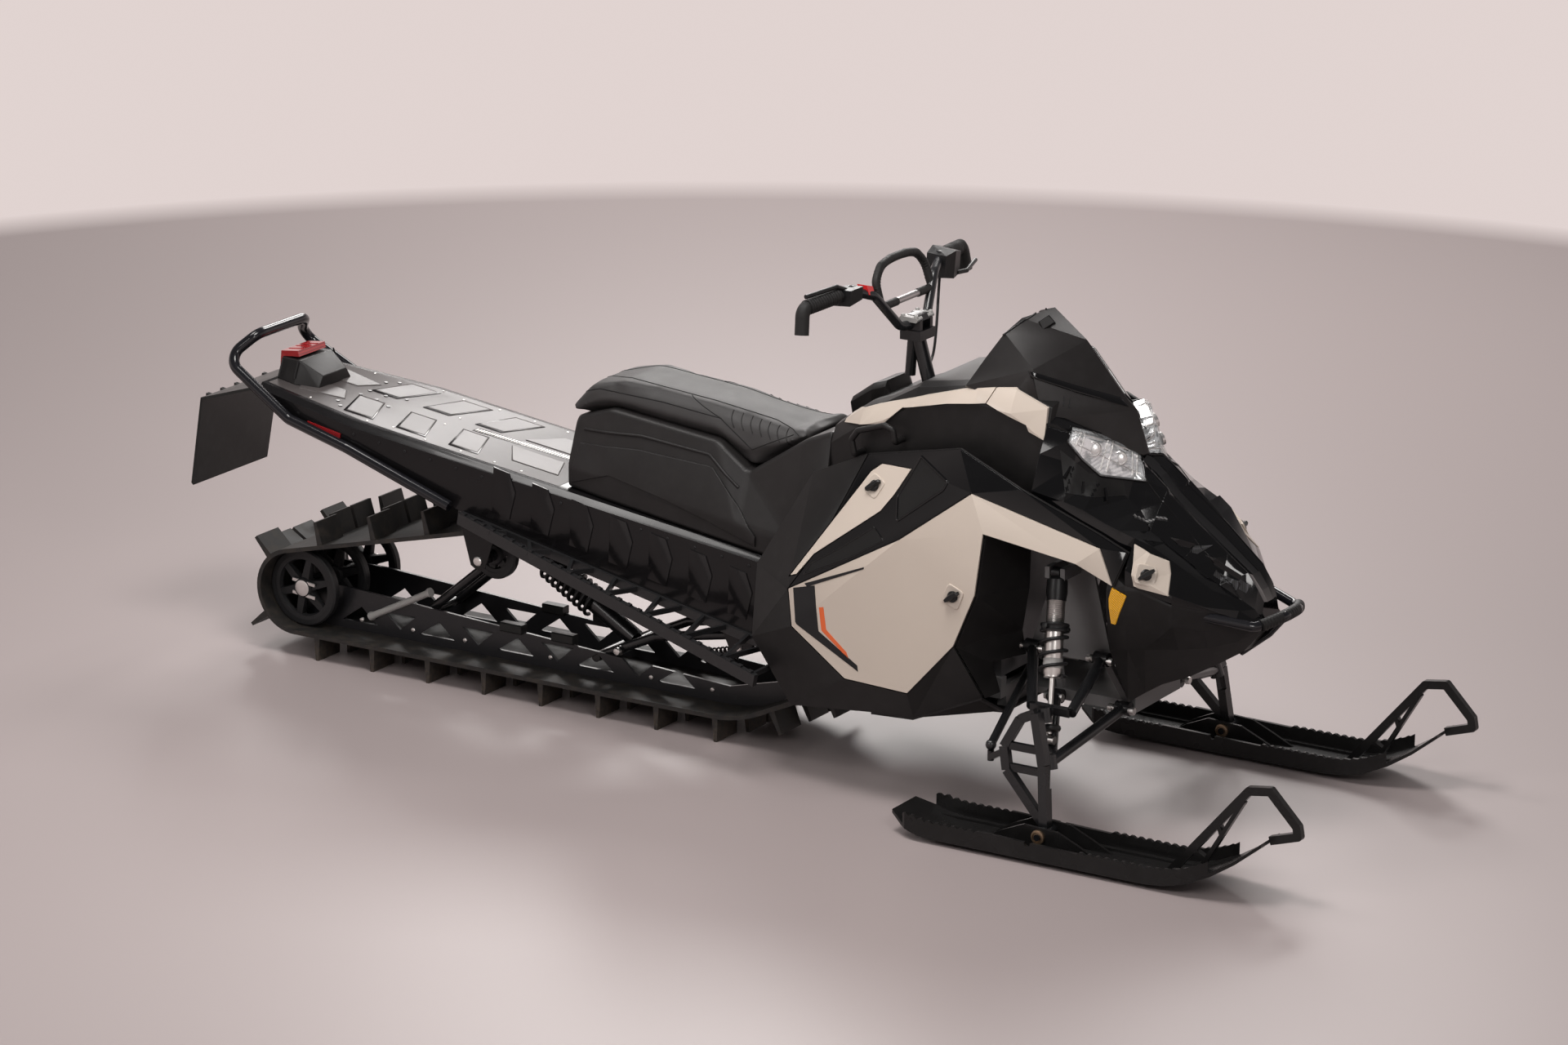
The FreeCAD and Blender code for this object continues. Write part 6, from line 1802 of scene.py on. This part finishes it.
@dataclass
class TunnelTop:
    """Satin deck of the tunnel with pressed chevrons, rivets, holes drawn as dark discs of painted shade, and
    bright slot strips whose slots are a dark strip of painted shade.
    """

    height: float = 0.5105
    slope: float = -0.130
    deck: Pairs = (
        (-1.440, -0.128), (-1.120, -0.176), (-0.520, -0.180), (-0.520, 0.180), (-1.120, 0.176),
        (-1.440, 0.128))
    chevron: Pairs = ((0.006, -0.032), (0.082, -0.032), (0.126, -0.146), (0.044, -0.146))
    chevrons: tuple[float, ...] = (-1.230, -1.070, -0.910)
    ends: tuple[Pairs, ...] = (
        ((-0.760, -0.030), (-0.600, -0.030), (-0.560, -0.120), (-0.700, -0.120)),
        ((-1.400, -0.024), (-1.270, -0.024), (-1.235, -0.080), (-1.360, -0.108)))
    rivets: Pairs = (
        (-1.393, -0.080), (-1.192, -0.100), (-1.153, -0.060), (-1.034, -0.155), (-0.961, -0.033),
        (-0.822, -0.165), (-0.721, -0.164), (-0.640, -0.165), (-1.300, -0.140), (-1.105, -0.168),
        (-0.560, -0.060), (-0.930, -0.166))
    holes: Pairs = (
        (-1.230, -0.020), (-1.205, -0.050), (-1.180, -0.020), (-1.160, -0.085), (-1.255, -0.062),
        (-1.240, -0.105), (-1.215, -0.130), (-1.130, -0.040))
    hole: Pairs = ((0.0035, -0.001), (0.0052, -0.001), (0.0052, 0.0016), (0.0035, 0.0016))
    slots: tuple[Pair, Pair] = ((-0.884, -0.004), (-0.540, 0.012))
    slot: Pairs = ((0.0, -0.011), (0.0042, -0.011), (0.0042, 0.011), (0.0, 0.011))
    strip: Pairs = ((-0.890, -0.017), (-0.535, -0.001), (-0.535, 0.026), (-0.890, 0.010))

    def z(self, x: float) -> float:
        """Height of the top at a place along it."""
        return self.height + self.slope * x

    def _plate(self, outline: Sequence[Pair], thick: float, x: float = 0.0, y: float = 0.0) -> Shape:
        """Flat plate on the deck from (x, y) corners, moved by x and y.

        Args:
            outline: its corners, in order.
            thick: how far it stands over the deck.
            x: how far it is moved forward.
            y: how far it is moved to the left.

        Returns:
            A closed shape.
        """
        low = np.array([(x + along, y + across, self.z(x + along) - 0.001) for along, across in outline])
        high = low + np.array([0, 0, thick + 0.001])
        centre = high.mean(0)
        top = high + (centre - high) / np.linalg.norm(centre - high, axis=1, keepdims=True) * thick
        return lattice(np.array([low, high - [0, 0, thick * 0.5], top]))

    def build(self) -> None:
        """Adds the deck, its pressings and its small parts."""
        add("deck_skin", self._plate(self.deck, 0.0010), Paint.DECK)
        raised = [self._plate(self.chevron, 0.0036, x) for x in self.chevrons]
        raised += [self._plate(outline, 0.0030) for outline in self.ends]
        rounded(add("deck_pressings", both(raised), Paint.DECK, smooth_deg=20), 0.0012, 2, 30.0)
        slope = np.array([-self.slope, 0.0, 1.0])
        rivets = [button((x, y, self.z(x) + 0.0012), slope, 0.0032, 0.0015, 10) for x, y in self.rivets]
        side = [button((x, -0.2055, self.z(x) - 0.030), (0, -1, 0), 0.0038, 0.0018, 10)
                for x in -1.120 + 0.078 * np.arange(20)]
        add("deck_rivets", both(rivets), Paint.SILVER)
        add("tunnel_side_rivets", both(side), Paint.STRIPE)
        # Painted shade: each hole is a flat dark disc on the deck, for the shade inside the hole.
        hole = turned(self.hole, 12)
        holes = [placed(hole, (x, y, self.z(x) + 0.001), slope, (1, 0, 0)) for x, y in self.holes]
        add("deck_holes", both(holes), Paint.STRIPE)
        first, last = np.array(self.slots)
        slots = [self._plate(self.slot, 0.0026, *(first * (1 - share) + last * share))
                 for share in np.linspace(0.0, 1.0, 44)]
        add("slot_strip_teeth", joined(slots), Paint.SILVER)
        # Painted shade: the dark strip under the teeth stands in for the shade in the slots between them.
        add("slot_strip", self._plate(self.strip, 0.0016), Paint.STRIPE)
        LOG.info("tunnel top")


@dataclass
class TailDetails:
    """Ribs on the tail lamp's lens and on its housing."""

    corner: Pair = (-1.444, 0.69822)
    ribs: tuple[float, ...] = (-0.030, 0.0, 0.030)

    def build(self) -> None:
        """Adds the ribs, measured from the deck's rear corner."""
        x, z = self.corner
        ribs = [beam((x - 0.002, y, z + 0.0665), (x + 0.046, y, z + 0.0725), 0.003, 0.002, 0.0005)
                for y in self.ribs]
        add("tail_lens_ribs", joined(ribs), Paint.RED)
        box = [beam((x + 0.012, -0.094, z + 0.010), (x + 0.014, -0.078, z + 0.050), 0.004, 0.004, 0.001),
               beam((x + 0.060, -0.094, z + 0.010), (x + 0.060, -0.076, z + 0.052), 0.004, 0.004, 0.001)]
        add("tail_housing_ribs", both(box), Paint.CONTROL)
        LOG.info("tail details")


@dataclass
class SkiDetails:
    """Bolt heads of one ski."""

    side: str
    sign: float
    bolt: Point = (1.020, 0.460, 0.052)
    head: Pairs = ((0.004, 0.0), (0.0165, 0.0), (0.0175, 0.25), (0.0165, 0.7), (0.0125, 0.75),
                              (0.0118, 0.5), (0.005, 0.5))

    def build(self) -> None:
        """Adds the bolt heads on both faces of the saddle."""
        x, y, z = self.bolt
        y *= self.sign
        heads = [turned_between((x, y + s * 0.0335, z), (x, y + s * 0.0430, z), self.head, 28)
                 for s in (-1, 1)]
        add("ski_bolt_heads_" + self.side, joined(heads), Paint.BRASS, node_body("ski_" + self.side), 40.0)
        LOG.info("ski details, %s", self.side)


@dataclass
class Steering:
    """Ribbed grips, cross bar, pale clamp, hoop wrap and small controls on the handlebars."""

    body: str = "handlebars"
    grip: tuple[Point, Point] = ((0.321, 0.256, 1.1935), (0.301, 0.360, 1.1852))
    hoop: Line = (
        (0.3555, -0.1185, 1.160), (0.343, -0.116, 1.202), (0.337, -0.084, 1.234), (0.335, -0.034, 1.2415),
        (0.335, 0.034, 1.2415), (0.337, 0.084, 1.234), (0.343, 0.116, 1.202), (0.3555, 0.1185, 1.160))
    bar: Pair = (0.362, 1.143)
    collars: Line = (
        (0.333, -0.205, 1.196), (0.333, 0.205, 1.196), (0.328, -0.228, 1.195), (0.328, 0.228, 1.195))

    def _ribbed(self, path: np.ndarray, radius: float, sides: int, depth: float, half_turns: float,
                up: Vec = UPWARDS) -> Shape:
        """Sleeve along a path, its ribs a square wave: size = 1 plus the depth by the sign of a sine."""
        wave = np.sin(np.linspace(0.0, half_turns * math.pi, len(path)))
        return swept(path, circle(radius, sides), 1.0 + depth * np.sign(wave), up)

    def build(self) -> None:
        """Adds the fittings; all ride with the handlebars."""
        paths = [spaced(np.array([(x, sign * y, z) for x, y, z in self.grip]), 64) for sign in (-1.0, 1.0)]
        grips = [self._ribbed(path, 0.0178, 18, 0.045, 26.0) for path in paths]
        add("grip_ribs", joined(grips), Paint.GRIP, self.body, 30.0)
        hoop = self._ribbed(spaced(eased(self.hoop, 3), 170), 0.0102, 14, 0.05, 84.0, (1.0, 0.02, 0.03))
        add("hoop_wrap", hoop, Paint.GRIP, self.body, 30.0)
        x, z = self.bar
        add("cross_bar_sleeve", rod((x, -0.050, z), (x, 0.050, z), 0.0085), Paint.SLEEVE, self.body)
        ends = [turned_between((x, s * 0.050, z), (x, s * 0.106, z), [
            (0.004, 0.0), (0.0105, 0.0), (0.0105, 0.96), (0.004, 1.0)], 20) for s in (-1, 1)]
        add("cross_bar_ends", joined(ends), Paint.GRIP, self.body)
        clamp = [beam((0.390, s * 0.040, 1.1000), (0.390, s * 0.014, 1.1010), 0.050, 0.012, 0.004)
                 for s in (-1, 1)]
        clamp += [button((x, y, 1.1065), (0, 0, 1), 0.0058, 0.005, 12)
                  for x in (0.372, 0.408) for y in (-0.034, 0.034)]
        add("bar_clamp", joined(clamp), Paint.ASH, self.body)
        rings = [rod((x, y - 0.006, z), (x, y + 0.006, z), 0.0155, 20, 0.010, 0.05)
                 for x, y, z in self.collars]
        add("control_collars", joined(rings), Paint.CONTROL, self.body)
        LOG.info("handlebar fittings")


@dataclass
class Studio:
    """Floor, backdrop, lamps and the camera at the photograph's place."""

    look_at: Point = (0.0224, 0.0, 0.5275)
    distance: float = 14.1638
    azimuth: float = 31.5087
    elevation: float = 16.4856
    roll: float = 0.3688
    lens: float = 133.03
    floor_colour: Colour = (0.385, 0.328, 0.325)
    wall_colour: Colour = (0.75, 0.655, 0.635)
    floor_radius: float = 5.95
    floor_edge: float = 0.28
    ceiling_colour: Colour = (0.16, 0.15, 0.15)
    ceiling_from: float = 0.30
    sky_colour: Colour = (0.97, 0.94, 0.93)
    sky: float = 0.22
    lamp_colour: Colour = (1.0, 0.97, 0.95)
    lamp_table: tuple[tuple[str, Point, float, float], ...] = (
        ("over", (0.6, -1.2, 4.2), 1.4, 92.0), ("over_rear", (-2.2, -0.6, 4.2), 1.4, 54.0),
        ("front", (4.2, -3.6, 3.4), 1.2, 56.0), ("side", (-1.0, -5.0, 3.4), 1.5, 52.0),
        ("far", (-1.0, 4.4, 4.4), 1.8, 120.0), ("back", (-4.5, 7.0, 4.6), 2.4, 200.0))

    def camera(self) -> None:
        """Places the camera: back along the given angles, turned by the roll."""
        az, el, roll = (math.radians(v) for v in (self.azimuth, self.elevation, self.roll))
        back = Vector((math.sin(az) * math.cos(el), -math.cos(az) * math.cos(el), math.sin(el)))
        level = (-back).cross(Vector((0, 0, 1))).normalized()
        rise = level.cross(-back)
        right = level * math.cos(roll) + rise * math.sin(roll)
        above = rise * math.cos(roll) - level * math.sin(roll)
        data = bpy.data.cameras.new("camera")
        data.sensor_width = 36.0
        data.lens = self.lens
        data.clip_end = 200.0
        camera = linked("camera", data)
        turn = Matrix((right, above, back)).transposed().to_4x4()
        camera.matrix_world = Matrix.Translation(Vector(self.look_at) + back * self.distance) @ turn
        bpy.context.scene.camera = camera

    def room(self) -> None:
        """Lays a round floor whose edge runs out into the near-white wall.

        The floor is a flat disc: places are its radius times the cosine and sine of the angle.
        """
        radii = np.array([self.floor_radius, 4.0, 2.0, 0.0])[:, None]
        turn = np.linspace(0.0, 2.0 * math.pi, 97)[None, :]
        grid = np.stack([radii * np.cos(turn), radii * np.sin(turn), 0.0 * radii * turn], -1)
        points, faces = lattice(grid, around=False)
        mesh = bpy.data.meshes.new("room")
        mesh.from_pydata(points, [], faces)
        room = linked("room", mesh)
        graph = Graph("room")
        along, across, _ = graph.axes()
        edge = ((along * along + across * across) ** 0.5).above(self.floor_radius - 0.16, self.floor_edge)
        cloud = graph.noise(0.9, 3.0).above(0.5, 0.8) * 0.05
        floor = graph.mixed(self.floor_colour, tuple(c * 0.9 for c in self.floor_colour), cloud)
        lit = graph.node("ShaderNodeBsdfPrincipled", {"Base Color": floor, "Roughness": 0.42})
        plain = graph.node("ShaderNodeEmission", {"Color": (*self.wall_colour, 1.0), "Strength": 1.0})
        share = graph.seen() * edge
        mix = graph.node("ShaderNodeMixShader", {0: share, 1: lit.outputs[0], 2: plain.outputs[0]})
        graph.node("ShaderNodeOutputMaterial", {"Surface": mix.outputs[0]})
        mesh.materials.append(graph.owner)

    def sky_and_wall(self) -> None:
        """Sets a weak even sky for light, and the wall's own plain colour for what is seen.

        Mirror-like reflections see the wall up to a height, and a darker ceiling over it.
        """
        world = bpy.data.worlds.new("sky")
        graph = Graph("sky", world)
        heading = graph.node("ShaderNodeTexCoord").outputs["Generated"]
        split = graph.node("ShaderNodeSeparateXYZ", {0: heading})
        ceiling = Signal(graph, split.outputs[2]).above(self.ceiling_from, self.ceiling_from)
        wall = graph.mixed(self.wall_colour, self.ceiling_colour, ceiling)
        even = graph.node("ShaderNodeBackground", {"Color": (*self.sky_colour, 1.0), "Strength": self.sky})
        plain = graph.node("ShaderNodeBackground", {"Color": wall, "Strength": 1.0})
        mix = graph.node("ShaderNodeMixShader", {0: graph.seen(), 1: even.outputs[0], 2: plain.outputs[0]})
        graph.node("ShaderNodeOutputWorld", {"Surface": mix.outputs[0]})
        bpy.context.scene.world = world

    def lamps(self) -> None:
        """Hangs soft lamps of middling size, by name, place, size and power, aimed towards the machine."""
        for name, place, size, power in self.lamp_table:
            data = bpy.data.lights.new(name, "AREA")
            data.size = size
            data.energy = power
            data.color = self.lamp_colour
            lamp = linked(name, data)
            lamp.location = place
            aim = Vector((place[0] * 0.4, place[1] * 0.4, 0.4)) - Vector(place)
            lamp.rotation_mode = "QUATERNION"
            lamp.rotation_quaternion = aim.to_track_quat("-Z", "Y")
        bpy.context.scene.view_settings.view_transform = "Standard"

    def build(self) -> None:
        """Sets up the room and the lamps."""
        self.room()
        self.sky_and_wall()
        self.lamps()
        LOG.info("studio is up")


def main() -> None:
    """Builds every sub-assembly in order."""
    logging.basicConfig(level=logging.INFO, format="%(message)s")
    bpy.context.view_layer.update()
    studio = Studio()
    studio.camera()
    BrakeLine().build()
    studio.build()
    Frame().dress()
    Bodywork().build()
    Latches().build()
    Stripes().build()
    Fender().build()
    Lamps().build()
    HoodDetails().build()
    Screen().build()
    Cushion().build()
    SeatBase().build()
    for side, sign in (("right", -1.0), ("left", 1.0)):
        SkiShock(side, sign).build()
        SkiDetails(side, sign).build()
    FrontEnd().build()
    Wheels().build()
    SuspensionFittings().build()
    TrackShock().build()
    TunnelTop().build()
    TailDetails().build()
    Steering().build()


if __name__ == "__main__":
    main()
